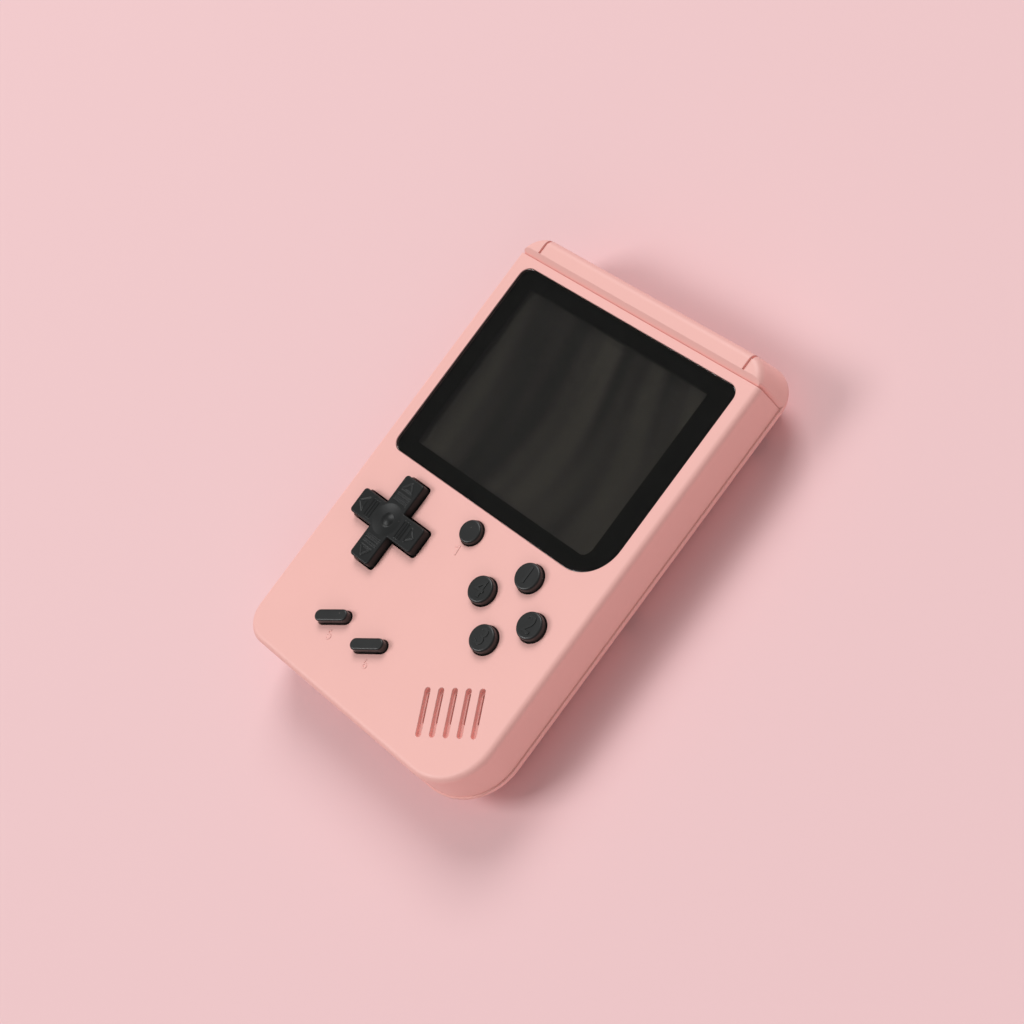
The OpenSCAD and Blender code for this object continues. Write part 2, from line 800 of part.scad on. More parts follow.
module main_board() {
    color([0.1, 0.35, 0.2]) difference() {
        slab(-cav_x + 0.5, cav_x - 0.5, -cav_y + 0.5, inner_seam - 0.5,
            [cav_r, cav_big_r, 1, 1], board_bottom, board_top);
        at_each(SCREWS) rod(boss_r + 0.3, board_bottom - 1, board_top + 1);
        at_each(BOARD_SCREWS) rod(board_screw_r + 2 * fit, board_bottom - 1, board_top + 1);
        at_speaker() rod(speaker_r + 0.9, board_bottom - 1, board_top + 1);
    }
}

// processor, memory and charging chip, soldered under the board
module board_chips() {
    color([0.07, 0.07, 0.08]) {
        translate([chip_x, chip_y, board_bottom - chip_t]) cube([chip_w, chip_w, chip_t]);
        translate([chip_x, memory_y, board_bottom - memory_t]) cube([memory_w, memory_l, memory_t]);
        translate([-chip_x - small_chip_w, small_chip_y, board_bottom - memory_t])
            cube([small_chip_w, small_chip_l, memory_t]);
    }
}

module crystal_can() {
    color([0.75, 0.76, 0.78]) translate([can_x, can_y, board_bottom - can_h])
        linear_extrude(can_h) pill2d(can_l, can_r);
}

module board_capacitors() {
    color([0.15, 0.15, 0.3]) for (i = [0, 1])
        translate([can_x, capacitor_y - i * capacitor_pitch, 0])
            rod(capacitor_r, board_bottom - capacitor_h, board_bottom);
}

// cap of a push button: a softened top on a shaft with a flange below the roof
module round_button(r, h) {
    rotate_extrude() {
        translate([0, flange_z]) square([r + flange_rim, flange_t]);
        translate([0, flange_z]) square([r, face_z + h - 0.5 - flange_z]);
        square_top(r, face_z + h);
    }
}

// half section of a cap's top with a rounded rim
module square_top(r, z) {
    translate([0, z - 0.6]) square([r - 0.5, 0.6]);
    intersection() {
        translate([r - 0.5, z - 0.5]) circle(0.5);
        translate([0, z - 0.6]) square([r, 1]);
    }
}

module menu_button() {
    color([0.14, 0.14, 0.15]) {
        translate([0, 0, flange_z]) linear_extrude(flange_t)
            pill2d(menu_l + 2 * menu_flange, menu_r + menu_flange);
        translate([0, 0, flange_z]) linear_extrude(face_z + menu_h - 0.4 - flange_z)
            pill2d(menu_l, menu_r);
        translate([0, 0, face_z + menu_h - 0.4]) menu_top();
    }
}

// round-edged top of a long button
module menu_top() {
    span = menu_l / 2 - menu_r;
    for (s = [-1, 1]) translate([s * span, 0, 0]) rotate_extrude() {
        square([menu_r - 0.4, 0.4]);
        intersection() {
            translate([menu_r - 0.4, 0]) circle(0.4);
            square([menu_r, 0.4]);
        }
    }
    translate([-span, 0, 0]) rotate([90, 0, 90]) linear_extrude(2 * span) {
        translate([0.4 - menu_r, 0]) square([2 * menu_r - 0.8, 0.4]);
        for (s = [-1, 1]) intersection() {
            translate([s * (menu_r - 0.4), 0]) circle(0.4);
            translate([-menu_r, 0]) square([2 * menu_r, 0.4]);
        }
    }
}

module action_button(i) {
    color([0.14, 0.14, 0.15]) at_action(i) round_button(action_r, action_h);
}

module action_top() { action_button(0); }
module action_right() { action_button(1); }
module action_bottom() { action_button(2); }
module action_left() { action_button(3); }

module action_plunger(i) {
    color([0.5, 0.5, 0.5]) at_action(i) rod(action_plunger_r, plunger_z, flange_z);
}

module plunger_top() { action_plunger(0); }
module plunger_right() { action_plunger(1); }
module plunger_bottom() { action_plunger(2); }
module plunger_left() { action_plunger(3); }

module action_membrane() {
    hole = action_plunger_r + button_gap;
    color([0.55, 0.55, 0.56]) difference() {
        union() {
            translate([action_x, -pad_y, 0])
                rod(action_ring + hole + 1.6, board_top, board_top + sheet_t);
            for (i = [0:3]) at_action(i) rod(hole + collar_wall, board_top, collar_top);
        }
        for (i = [0:3]) at_action(i) rod(hole, board_top - 1, collar_top + 1);
    }
}

module reset_button() {
    color([0.14, 0.14, 0.15]) translate([0, -reset_y, 0]) round_button(reset_r, reset_h);
}

module reset_plunger() {
    color([0.5, 0.5, 0.5]) translate([0, -reset_y, 0]) rod(reset_plunger_r, plunger_z, flange_z);
}

module reset_membrane() {
    hole = reset_plunger_r + button_gap;
    color([0.55, 0.55, 0.56]) translate([0, -reset_y, 0]) {
        tube(hole + 1.7, hole, board_top, board_top + sheet_t);
        tube(hole + collar_wall, hole, board_top, collar_top);
    }
}

module select_button() { at_menu(0) menu_button(); }
module start_button() { at_menu(1) menu_button(); }

module select_plunger() {
    color([0.5, 0.5, 0.5]) at_menu(0) rod(menu_plunger_r, plunger_z, flange_z);
}

module start_plunger() {
    color([0.5, 0.5, 0.5]) at_menu(1) rod(menu_plunger_r, plunger_z, flange_z);
}

module menu_membrane() {
    hole = menu_plunger_r + button_gap;
    edge = hole + menu_sheet_rim;
    color([0.55, 0.55, 0.56]) difference() {
        union() {
            slab(MENU_X[0] - edge, MENU_X[1] + edge, -menu_y - edge, edge - menu_y, [3, 3, 3, 3],
                board_top, board_top + sheet_t);
            for (i = [0:1]) at_menu(i) rod(hole + collar_wall, board_top, collar_top);
        }
        for (i = [0:1]) at_menu(i) rod(hole, board_top - 1, collar_top + 1);
    }
}

// the direction pad: a cross with a flange, hollow below for the pivot cap
module dpad() {
    top = face_z + pad_h;
    color([0.13, 0.13, 0.14]) at_pad() difference() {
        union() {
            translate([0, 0, pad_flange_z]) linear_extrude(top - pad_flange_z)
                cross_plan(pad_arm, pad_half_w, 0.6);
            translate([0, 0, pad_flange_z]) linear_extrude(pad_flange_t)
                cross_plan(pad_flange, pad_half_w + pad_flange_rim, 1.5);
            for (a = [0:90:270]) rotate([0, 0, a]) pad_marks(top);
            rod(pad_half_w + 0.9, pad_flange_z, roof_z - 0.4);
        }
        translate([0, 0, top + dish_r - dish_depth]) sphere(r = dish_r);
        translate([0, 0, pivot_z]) sphere(r = ball_r + cap_t + 2 * fit);
        rod(ball_r + cap_t + 2 * fit, pad_flange_z - 1, pivot_z);
    }
    color([0.13, 0.13, 0.14]) at_pad() translate([0, 0, top + 0.05 - dome_r]) intersection() {
        sphere(r = dome_r);
        translate([0, 0, dome_r - 1]) cylinder(r = dome_r, h = dome_r);
    }
}

// raised arrow and two ridges on one arm
module pad_marks(z) {
    translate([pad_arm - 1.3, 0, z]) linear_extrude(pad_relief)
        polygon([[0, 0], [-2.2, 1.5], [-2.2, -1.5]]);
    for (x = [4.6, 6]) translate([x, -1.7, z]) cube([0.7, 3.4, pad_relief]);
}

// spherical cap that the pad tilts on, itself tilting on the post's ball
module dpad_pivot() {
    color([0.75, 0.75, 0.74]) at_pad() translate([0, 0, pivot_z]) difference() {
        sphere(r = ball_r + cap_t + fit);
        sphere(r = ball_r + fit);
        translate([0, 0, -5.2]) cylinder(r = 5, h = 5);
    }
}

module dpad_post() {
    color([0.7, 0.7, 0.7]) at_pad() {
        translate([0, 0, pivot_z]) sphere(r = ball_r);
        rod(post_shaft_r, board_top, pivot_z);
        rod(post_foot_r, board_top, board_top + 1);
    }
}

module dpad_plungers() {
    color([0.5, 0.5, 0.5]) at_pad() for (a = [0:90:270]) rotate([0, 0, a])
        translate([pad_plunger_ring, 0, 0])
            rod(pad_plunger_r, pad_flange_z - pad_plunger_h, pad_flange_z);
}

module dpad_membrane() {
    color([0.55, 0.55, 0.56]) at_pad() difference() {
        rod(pad_flange + 0.6, board_top, board_top + sheet_t);
        rod(post_foot_r + 0.4, board_top - 1, board_top + 2);
        for (a = [0:90:270]) rotate([0, 0, a]) translate([pad_plunger_ring, 0, 0])
            rod(pad_plunger_r + 1.2, board_top - 1, board_top + 2);
    }
}

// round basket of the speaker with its open front
module speaker_frame() {
    color([0.6, 0.6, 0.62]) at_speaker() {
        tube(speaker_r, speaker_r - 0.9, board_top + 2 * basket_t, roof_z - 0.2);
        tube(speaker_r, basket_hole, board_top + basket_t, board_top + 2 * basket_t);
    }
}

module speaker_cone() {
    z = roof_z - 0.9;
    color([0.1, 0.1, 0.1]) at_speaker() rotate_extrude()
        polygon([[0, z - 1.6], [3, z - 2], [speaker_r - 1.1, z], [speaker_r - 1.1, z + 0.3],
            [3, z - 1.7], [0, z - 1.3]]);
}

module speaker_magnet() {
    color([0.3, 0.3, 0.32]) at_speaker() rod(magnet_r, board_bottom - 1.2, board_top + basket_t);
}

module speaker_mesh() {
    color([0.12, 0.12, 0.12]) at_speaker() rod(speaker_r - 0.4, roof_z - 0.2, roof_z);
}

module volume_wheel() {
    color([0.16, 0.16, 0.17]) translate([wheel_x, wheel_y, wheel_z]) difference() {
        cylinder(r = wheel_r, h = wheel_t);
        translate([0, 0, -1]) cylinder(r = shaft_r + fit, h = wheel_t + 2);
        for (a = [0:10:350]) rotate([0, 0, a]) translate([wheel_r, 0, -1])
            cylinder(r = 0.3, h = wheel_t + 2);
    }
}

// body of the pot, its shaft and the head that keeps the wheel on
module volume_pot() {
    color([0.7, 0.7, 0.72]) translate([wheel_x, wheel_y, 0]) {
        rod(pot_r, wheel_z + wheel_t + wheel_gap, board_bottom);
        rod(shaft_r, wheel_z - 0.9, board_bottom);
        rod(shaft_r + 0.9, wheel_z - 0.9, wheel_z - wheel_gap);
    }
}

module power_knob() {
    color([0.16, 0.16, 0.17]) translate([0, power_y, knob_z]) {
        translate([-half_w - control_out, -knob_l / 2, -knob_h / 2])
            cube([knob_t, knob_l, knob_h]);
        translate([-half_w + switch_x - 1, -stem_l / 2, -stem_h / 2])
            cube([switch_x - 1, stem_l, stem_h]);
    }
}

module power_switch_body() {
    color([0.75, 0.75, 0.77]) difference() {
        translate([-half_w + switch_x, power_y + (power_travel - switch_l) / 2,
            board_bottom - switch_h]) cube([4, switch_l, switch_h]);
        translate([-half_w + switch_x - 1, power_y - stem_l / 2 - fit, knob_z - stem_h / 2 - fit])
            cube([4, stem_l + power_travel + 2 * fit, stem_h + 2 * fit]);
    }
}

module usb_socket() {
    color([0.78, 0.79, 0.8]) at_bottom(-usb_x, usb_z) translate([0, 0, usb_in + 1]) difference() {
        linear_extrude(usb_l) pill2d(usb_w, usb_r);
        translate([0, 0, -1]) linear_extrude(usb_l + 0.2)
            pill2d(usb_w - 2 * usb_skin, usb_r - usb_skin);
    }
    color([0.1, 0.1, 0.1]) translate([-usb_x - 2, usb_in + 0.7 - half_l, usb_z - 0.25])
        cube([4, usb_l - 1.1, 0.6]);
}

module av_jack() {
    color([0.1, 0.1, 0.11]) at_bottom(-jack_x, jack_z) translate([0, 0, jack_in + 1]) difference() {
        union() {
            cylinder(r = jack_body_r, h = jack_nose);
            translate([-jack_block_w / 2, jack_z - board_bottom, jack_nose])
                cube([jack_block_w, jack_block_h, jack_depth + jack_end_t - jack_nose]);
        }
        translate([0, 0, -1]) cylinder(r = jack_r, h = jack_depth + 1);
    }
}

module battery() {
    color([0.75, 0.77, 0.8]) translate([-battery_w / 2, battery_y - battery_l / 2, battery_z])
        cube([battery_w, battery_l, battery_t]);
}

module battery_contacts() {
    y = battery_y + battery_l / 2;
    color([0.85, 0.7, 0.3]) {
        for (i = [-1:1])
            translate([i * contact_pitch - contact_w / 2, y + contact_gap, battery_z + 1]) {
                cube([contact_w, contact_t, board_bottom - battery_z - 1]);
                translate([0, -contact_gap, 0]) cube([contact_w, contact_gap + 0.1, contact_h]);
            }
    }
}

module case_screws() {
    color([0.7, 0.7, 0.72]) at_each(SCREWS) difference() {
        union() {
            rod(screw_head_r, screw_seat - screw_head_t, screw_seat);
            rod(screw_r, screw_seat, roof_z - tip_gap);
        }
        for (a = [0, 90]) rotate([0, 0, a])
            translate([-driver_l / 2, -driver_w / 2, screw_seat - screw_head_t - 1])
                cube([driver_l, driver_w, 1 + driver_depth]);
    }
}

module board_screws() {
    color([0.7, 0.7, 0.72]) at_each(BOARD_SCREWS) {
        rod(board_head_r, board_bottom - board_head_t, board_bottom);
        rod(board_screw_r, board_bottom, roof_z - tip_gap);
    }
}

front_shell();
back_shell();
battery_cover();
screen_lens();
lens_tape();
lcd_panel();
lcd_frame();
lcd_ribbon();
ribbon_socket();
main_board();
board_chips();
crystal_can();
board_capacitors();
dpad();
dpad_pivot();
dpad_post();
dpad_plungers();
dpad_membrane();
action_top();
action_right();
action_bottom();
action_left();
plunger_top();
plunger_right();
plunger_bottom();
plunger_left();
action_membrane();
reset_button();
reset_plunger();
reset_membrane();
select_button();
select_plunger();
start_button();
start_plunger();
menu_membrane();
speaker_frame();
speaker_cone();
speaker_magnet();
speaker_mesh();
volume_wheel();
volume_pot();
power_knob();
power_switch_body();
usb_socket();
av_jack();
battery();
battery_contacts();
case_screws();
board_screws();
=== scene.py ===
"""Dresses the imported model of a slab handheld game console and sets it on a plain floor."""

import logging
import math
from dataclasses import dataclass, field
from enum import Enum
from typing import Iterable, Sequence

import bmesh
import bpy
from mathutils import Matrix, Vector


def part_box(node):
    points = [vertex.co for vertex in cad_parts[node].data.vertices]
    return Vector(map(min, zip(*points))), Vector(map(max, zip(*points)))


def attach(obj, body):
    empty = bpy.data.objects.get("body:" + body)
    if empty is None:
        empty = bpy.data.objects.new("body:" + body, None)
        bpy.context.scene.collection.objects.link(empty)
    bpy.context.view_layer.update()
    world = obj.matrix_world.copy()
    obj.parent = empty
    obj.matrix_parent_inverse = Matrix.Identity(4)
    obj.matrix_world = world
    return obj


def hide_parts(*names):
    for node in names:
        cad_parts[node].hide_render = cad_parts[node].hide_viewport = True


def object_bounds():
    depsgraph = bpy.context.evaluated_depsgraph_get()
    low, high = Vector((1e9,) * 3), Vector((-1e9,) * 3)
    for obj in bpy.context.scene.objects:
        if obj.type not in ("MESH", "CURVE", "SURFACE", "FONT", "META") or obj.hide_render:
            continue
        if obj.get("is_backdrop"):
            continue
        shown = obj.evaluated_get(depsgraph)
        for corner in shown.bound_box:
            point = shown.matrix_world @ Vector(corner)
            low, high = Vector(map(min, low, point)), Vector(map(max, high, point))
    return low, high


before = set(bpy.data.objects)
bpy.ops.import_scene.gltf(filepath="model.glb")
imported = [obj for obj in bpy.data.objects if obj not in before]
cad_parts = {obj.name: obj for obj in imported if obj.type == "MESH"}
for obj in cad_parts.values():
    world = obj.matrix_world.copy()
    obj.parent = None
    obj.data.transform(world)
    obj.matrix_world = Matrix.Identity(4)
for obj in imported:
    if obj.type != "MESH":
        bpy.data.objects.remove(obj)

Point = tuple[float, float]
Colour = tuple[float, float, float]
log = logging.getLogger("console")

MM = 0.001
TINY = 1e-6
BEVEL_SAMPLES = 6

# Sockets of a Mix node that mixes colours
MIX_LOW, MIX_HIGH, MIX_RESULT = 6, 7, 2

# Patterns of the shared effects, per metre
RIPPLE_SCALE = 850.0
DRIFT_SCALE = 38.0
PATCH_SCALE = 160.0
SPECK_SCALE = 900.0
SPECK_FIELD_SCALE = 420.0
LINE_SCALE = 5200.0
# The next two shape the painted reflection on the display
REFLECTION_BEND_SCALE = 16.0
REFLECTION_STREAK_SCALE = (85.0, 9.0, 1.0)

# How far each pattern reaches, as a share of what it changes, and how it is stretched or turned
PATCH_SHARE = 0.16
SPECK_RIM = (0.05, 0.13)
SPECK_FIELD = (0.60, 0.72)
LINE_SHARE = 0.18
LINE_STRETCH = 0.06
# These three shape the painted reflection on the display
REFLECTION_BEND_REACH = 0.03
REFLECTION_STREAK_TURN = -34.0
REFLECTION_STREAK_RANGE = (0.34, 0.68)


class Slant(Enum):
    """Turn of a mark on the front face, in degrees about +Z."""

    UPRIGHT = 0.0
    MENU = 30.4


class Grain(Enum):
    """Moulded surface grains: size of one grain and depth, both in millimetres."""

    SPARK = (0.42, 0.010)
    SATIN = (0.22, 0.004)
    SMOOTH = (0.8, 0.001)


def srgb(red: int, green: int, blue: int) -> Colour:
    """Turns a colour of 0 to 255 per channel into linear light.

    Args:
        red: Red channel.
        green: Green channel.
        blue: Blue channel.

    Returns:
        The linear colour.
    """

    def linear(value: int) -> float:
        """One channel in linear light."""
        share = value / 255
        return share / 12.92 if share <= 0.04045 else ((share + 0.055) / 1.055) ** 2.4

    return linear(red), linear(green), linear(blue)


def colour_mix(tree: bpy.types.NodeTree, high: Colour, low: Colour = (0.0, 0.0, 0.0)) -> bpy.types.Node:
    """Adds a node that mixes two colours by its first input.

    Args:
        tree: Where the node goes.
        high: Colour where the input is 1.
        low: Colour where the input is 0, unless a link feeds it.

    Returns:
        The node.
    """
    made = tree.nodes.new("ShaderNodeMix")
    made.data_type = "RGBA"
    made.inputs[MIX_LOW].default_value = (*low, 1.0)
    made.inputs[MIX_HIGH].default_value = (*high, 1.0)
    return made


class GroupMaker:
    """Builds one shared node group with named inputs and outputs."""

    def __init__(self, name: str) -> None:
        """Starts an empty group.

        Args:
            name: Name of the group.
        """
        self.tree = bpy.data.node_groups.new(name, "ShaderNodeTree")
        self.inlet = self.tree.nodes.new("NodeGroupInput")
        self.outlet = self.tree.nodes.new("NodeGroupOutput")

    def value_in(self, name: str, default: float) -> bpy.types.NodeSocket:
        """Adds a number input and returns the socket that carries it.

        Args:
            name: Name of the input.
            default: Its value where nothing is set.

        Returns:
            The socket inside the group.
        """
        made = self.tree.interface.new_socket(name, in_out="INPUT", socket_type="NodeSocketFloat")
        made.default_value = default
        return self.inlet.outputs[name]

    def colour_in(self, name: str) -> bpy.types.NodeSocket:
        """Adds a colour input and returns the socket that carries it."""
        self.tree.interface.new_socket(name, in_out="INPUT", socket_type="NodeSocketColor")
        return self.inlet.outputs[name]

    def give(self, name: str, socket: bpy.types.NodeSocket, kind: str = "NodeSocketFloat") -> None:
        """Adds an output fed by a socket.

        Args:
            name: Name of the output.
            socket: What it carries.
            kind: Type of the output.
        """
        self.tree.interface.new_socket(name, in_out="OUTPUT", socket_type=kind)
        self.tree.links.new(socket, self.outlet.inputs[name])

    def node(self, kind: str, **settings: object) -> bpy.types.Node:
        """Adds a node and sets its properties.

        Args:
            kind: Type of the node.
            **settings: Properties by name.

        Returns:
            The node.
        """
        made = self.tree.nodes.new(kind)
        for key, value in settings.items():
            setattr(made, key, value)
        return made

    def link(self, source: bpy.types.NodeSocket, target: bpy.types.NodeSocket) -> None:
        """Joins two sockets."""
        self.tree.links.new(source, target)

    def maths(self, operation: str, *values: object) -> bpy.types.NodeSocket:
        """Adds a sum of numbers and sockets.

        Args:
            operation: Name of the operation.
            *values: Numbers or sockets.

        Returns:
            The result's socket.
        """
        made = self.node("ShaderNodeMath", operation=operation)
        for place, value in enumerate(values):
            if isinstance(value, (int, float)):
                made.inputs[place].default_value = value
            else:
                self.link(value, made.inputs[place])
        return made.outputs[0]

    def place(self) -> bpy.types.NodeSocket:
        """The point on the object, in metres of the shared frame."""
        return self.node("ShaderNodeTexCoord").outputs["Object"]

    def noise(self, scale: object, detail: float, where: bpy.types.NodeSocket) -> bpy.types.NodeSocket:
        """Adds a noise pattern.

        Args:
            scale: Number or socket, in patterns per metre.
            detail: Levels of detail.
            where: Socket of the point.

        Returns:
            The pattern's socket, about 0.5 on average.
        """
        made = self.node("ShaderNodeTexNoise")
        made.inputs["Detail"].default_value = detail
        if isinstance(scale, (int, float)):
            made.inputs["Scale"].default_value = scale
        else:
            self.link(scale, made.inputs["Scale"])
        self.link(where, made.inputs["Vector"])
        return made.outputs["Fac"]

    def ramp(self, value: bpy.types.NodeSocket, low: float, high: float) -> bpy.types.NodeSocket:
        """Spreads a value between two limits over 0 to 1.

        Args:
            value: The value.
            low: Where the result is 0.
            high: Where the result is 1.

        Returns:
            The result's socket.
        """
        made = self.node("ShaderNodeMapRange", interpolation_type="SMOOTHSTEP")
        made.inputs["From Min"].default_value = low
        made.inputs["From Max"].default_value = high
        self.link(value, made.inputs["Value"])
        return made.outputs["Result"]


def grain_group() -> bpy.types.NodeTree:
    """Moulded grain: a fine height, a slow drift of tone and a patchy shine.

    Returns:
        The group.
    """
    make = GroupMaker("moulded_grain")
    size = make.value_in("Grains per metre", 2500.0)
    ripple = make.value_in("Ripple", 0.0)
    drift = make.value_in("Drift", 0.05)
    rough = make.value_in("Roughness", 0.5)
    base = make.colour_in("Colour")
    where = make.place()
    fine = make.noise(size, 3.0, where)
    wide = make.maths("MULTIPLY", make.noise(RIPPLE_SCALE, 1.0, where), ripple)
    slow = make.noise(DRIFT_SCALE, 3.0, where)
    shift = make.maths("MULTIPLY", make.maths("SUBTRACT", slow, 0.5), drift)
    tone = make.node("ShaderNodeHueSaturation")
    make.link(make.maths("ADD", make.maths("MULTIPLY", shift, 2.0), 1.0), tone.inputs["Value"])
    make.link(base, tone.inputs["Color"])
    make.give("Height", make.maths("ADD", fine, wide))
    make.give("Colour", tone.outputs["Color"], "NodeSocketColor")
    patch = make.maths("SUBTRACT", make.noise(PATCH_SCALE, 4.0, where), 0.5)
    make.give("Roughness", make.maths("ADD", rough, make.maths("MULTIPLY", patch, PATCH_SHARE)))
    return make.tree


def dust_group() -> bpy.types.NodeTree:
    """Small pale specks that settle on dark and glossy pieces.

    Returns:
        The group.
    """
    make = GroupMaker("settled_dust")
    amount = make.value_in("Amount", 0.3)
    base = make.colour_in("Colour")
    where = make.place()
    cells = make.node("ShaderNodeTexVoronoi", feature="F1")
    cells.inputs["Scale"].default_value = SPECK_SCALE
    make.link(where, cells.inputs["Vector"])
    speck = make.maths("SUBTRACT", 1.0, make.ramp(cells.outputs["Distance"], *SPECK_RIM))
    apart = make.ramp(make.noise(SPECK_FIELD_SCALE, 2.0, where), *SPECK_FIELD)
    mix = colour_mix(make.tree, srgb(176, 168, 162))
    make.link(make.maths("MULTIPLY", make.maths("MULTIPLY", speck, apart), amount), mix.inputs[0])
    make.link(base, mix.inputs[MIX_LOW])
    make.give("Colour", mix.outputs[MIX_RESULT], "NodeSocketColor")
    return make.tree


def brushed_group() -> bpy.types.NodeTree:
    """Fine drawn lines on plated metal.

    Returns:
        The group.
    """
    make = GroupMaker("drawn_lines")
    rough = make.value_in("Roughness", 0.3)
    scale = make.node("ShaderNodeMapping")
    scale.inputs["Scale"].default_value = (1.0, LINE_STRETCH, 1.0)
    make.link(make.place(), scale.inputs["Vector"])
    lines = make.noise(LINE_SCALE, 3.0, scale.outputs["Vector"])
    make.give("Height", lines)
    make.give("Roughness", make.maths("ADD", rough, make.maths("MULTIPLY", lines, LINE_SHARE)))
    return make.tree


def weave_group() -> bpy.types.NodeTree:
    """Plain weave of a fine cloth.

    Returns:
        The group.
    """
    make = GroupMaker("plain_weave")
    pitch = make.value_in("Threads per metre", 5000.0)
    apart = make.node("ShaderNodeSeparateXYZ")
    make.link(make.place(), apart.inputs["Vector"])
    waves = []
    for axis in ("X", "Y"):
        turn = make.maths("MULTIPLY", make.maths("MULTIPLY", apart.outputs[axis], pitch), math.pi)
        waves.append(make.maths("ABSOLUTE", make.maths("SINE", turn)))
    over = make.maths("MAXIMUM", waves[0], waves[1])
    make.give("Height", over)
    make.give("Shade", make.maths("MULTIPLY", waves[0], waves[1]))
    return make.tree


def painted_reflection_group() -> bpy.types.NodeTree:
    """Painted reflection: soft curved lighter bands across the dark display, standing in for a reflection
    in the lens.

    Returns:
        The group.
    """
    make = GroupMaker("painted_reflection_streaks")
    where = make.place()
    bend = make.node("ShaderNodeTexNoise")
    bend.inputs["Scale"].default_value = REFLECTION_BEND_SCALE
    bend.inputs["Detail"].default_value = 0.0
    make.link(where, bend.inputs["Vector"])
    push = make.node("ShaderNodeVectorMath", operation="MULTIPLY_ADD")
    make.link(bend.outputs["Color"], push.inputs[0])
    push.inputs[1].default_value = (REFLECTION_BEND_REACH, REFLECTION_BEND_REACH, 0.0)
    make.link(where, push.inputs[2])
    turned = make.node("ShaderNodeMapping")
    turned.inputs["Rotation"].default_value = (0.0, 0.0, math.radians(REFLECTION_STREAK_TURN))
    turned.inputs["Scale"].default_value = REFLECTION_STREAK_SCALE
    make.link(push.outputs["Vector"], turned.inputs["Vector"])
    # The bands are a painted reflection, lighter where this ramp is high
    make.give("Painted reflection", make.ramp(make.noise(1.0, 1.0, turned.outputs["Vector"]), *REFLECTION_STREAK_RANGE))
    return make.tree


class Effects:
    """The shared node groups, each built once."""

    def __init__(self) -> None:
        """Builds every group."""
        self.grain = grain_group()
        self.dust = dust_group()
        self.brushed = brushed_group()
        self.weave = weave_group()
        # Painted reflection for the display
        self.streaks = painted_reflection_group()


class Dresser:
    """A new material with its shader, ready for groups and settings."""

    def __init__(self, name: str) -> None:
        """Starts a material.

        Args:
            name: Name of the material.
        """
        self.material = bpy.data.materials.new(name)
        self.material.use_nodes = True
        self.tree = self.material.node_tree
        self.shader = self.tree.nodes["Principled BSDF"]

    def group(self, tree: bpy.types.NodeTree, **values: float) -> bpy.types.Node:
        """Places a shared group.

        Args:
            tree: The group.
            **values: Input values, with _ for a space.

        Returns:
            The group's node.
        """
        made = self.tree.nodes.new("ShaderNodeGroup")
        made.node_tree = tree
        for key, value in values.items():
            made.inputs[key.replace("_", " ")].default_value = value
        return made

    def link(self, source: bpy.types.NodeSocket, target: bpy.types.NodeSocket) -> None:
        """Joins two sockets."""
        self.tree.links.new(source, target)

    def feed(self, source: bpy.types.NodeSocket, name: str) -> None:
        """Feeds one socket of the shader."""
        self.link(source, self.shader.inputs[name])

    def set(self, **values: object) -> None:
        """Sets the shader's own sockets, with _ for a space."""
        for key, value in values.items():
            self.shader.inputs[key.replace("_", " ")].default_value = value

    def bump(self, height: bpy.types.NodeSocket, depth: float, edge: float = 0.0) -> None:
        """Raises the surface by a height and softens its sharp edges.

        Args:
            height: Socket of the height.
            depth: Depth in millimetres for a height of 1.
            edge: Radius of the softened edges in millimetres.
        """
        made = self.tree.nodes.new("ShaderNodeBump")
        made.inputs["Distance"].default_value = depth * MM
        self.link(height, made.inputs["Height"])
        if edge > 0:
            soft = self.tree.nodes.new("ShaderNodeBevel")
            soft.samples = BEVEL_SAMPLES
            soft.inputs["Radius"].default_value = edge * MM
            self.link(soft.outputs["Normal"], made.inputs["Normal"])
        self.feed(made.outputs["Normal"], "Normal")


@dataclass(frozen=True)
class MouldedPlastic:
    """Finish of a moulded piece."""

    name: str
    colour: Colour
    roughness: float
    grain: Grain
    drift: float = 0.03
    dust: float = 0.0
    sheen: float = 0.5
    edge: float = 0.0
    ripple: float = 0.0

    def make(self, effects: Effects) -> bpy.types.Material:
        """Builds the material.

        Args:
            effects: The shared groups.

        Returns:
            The material.
        """
        size, depth = self.grain.value
        work = Dresser(self.name)
        grain = work.group(
            effects.grain, Grains_per_metre=1 / (size * MM), Drift=self.drift, Ripple=self.ripple
        )
        grain.inputs["Roughness"].default_value = self.roughness
        grain.inputs["Colour"].default_value = (*self.colour, 1.0)
        colour = grain.outputs["Colour"]
        if self.dust > 0:
            dust = work.group(effects.dust, Amount=self.dust)
            work.link(colour, dust.inputs["Colour"])
            colour = dust.outputs["Colour"]
        work.feed(colour, "Base Color")
        work.feed(grain.outputs["Roughness"], "Roughness")
        work.set(Specular_IOR_Level=self.sheen)
        work.bump(grain.outputs["Height"], depth, self.edge)
        return work.material


@dataclass(frozen=True)
class ClearLens:
    """Finish of the clear acrylic lens."""

    name: str
    colour: Colour = srgb(250, 250, 250)
    roughness: float = 0.03
    refraction: float = 1.49

    def make(self, effects: Effects) -> bpy.types.Material:
        """Builds the material.

        Args:
            effects: The shared groups, of which a clear piece uses none.

        Returns:
            The material.
        """
        work = Dresser(self.name)
        work.set(Base_Color=(*self.colour, 1.0), Roughness=self.roughness)
        work.set(IOR=self.refraction, Transmission_Weight=1.0)
        return work.material


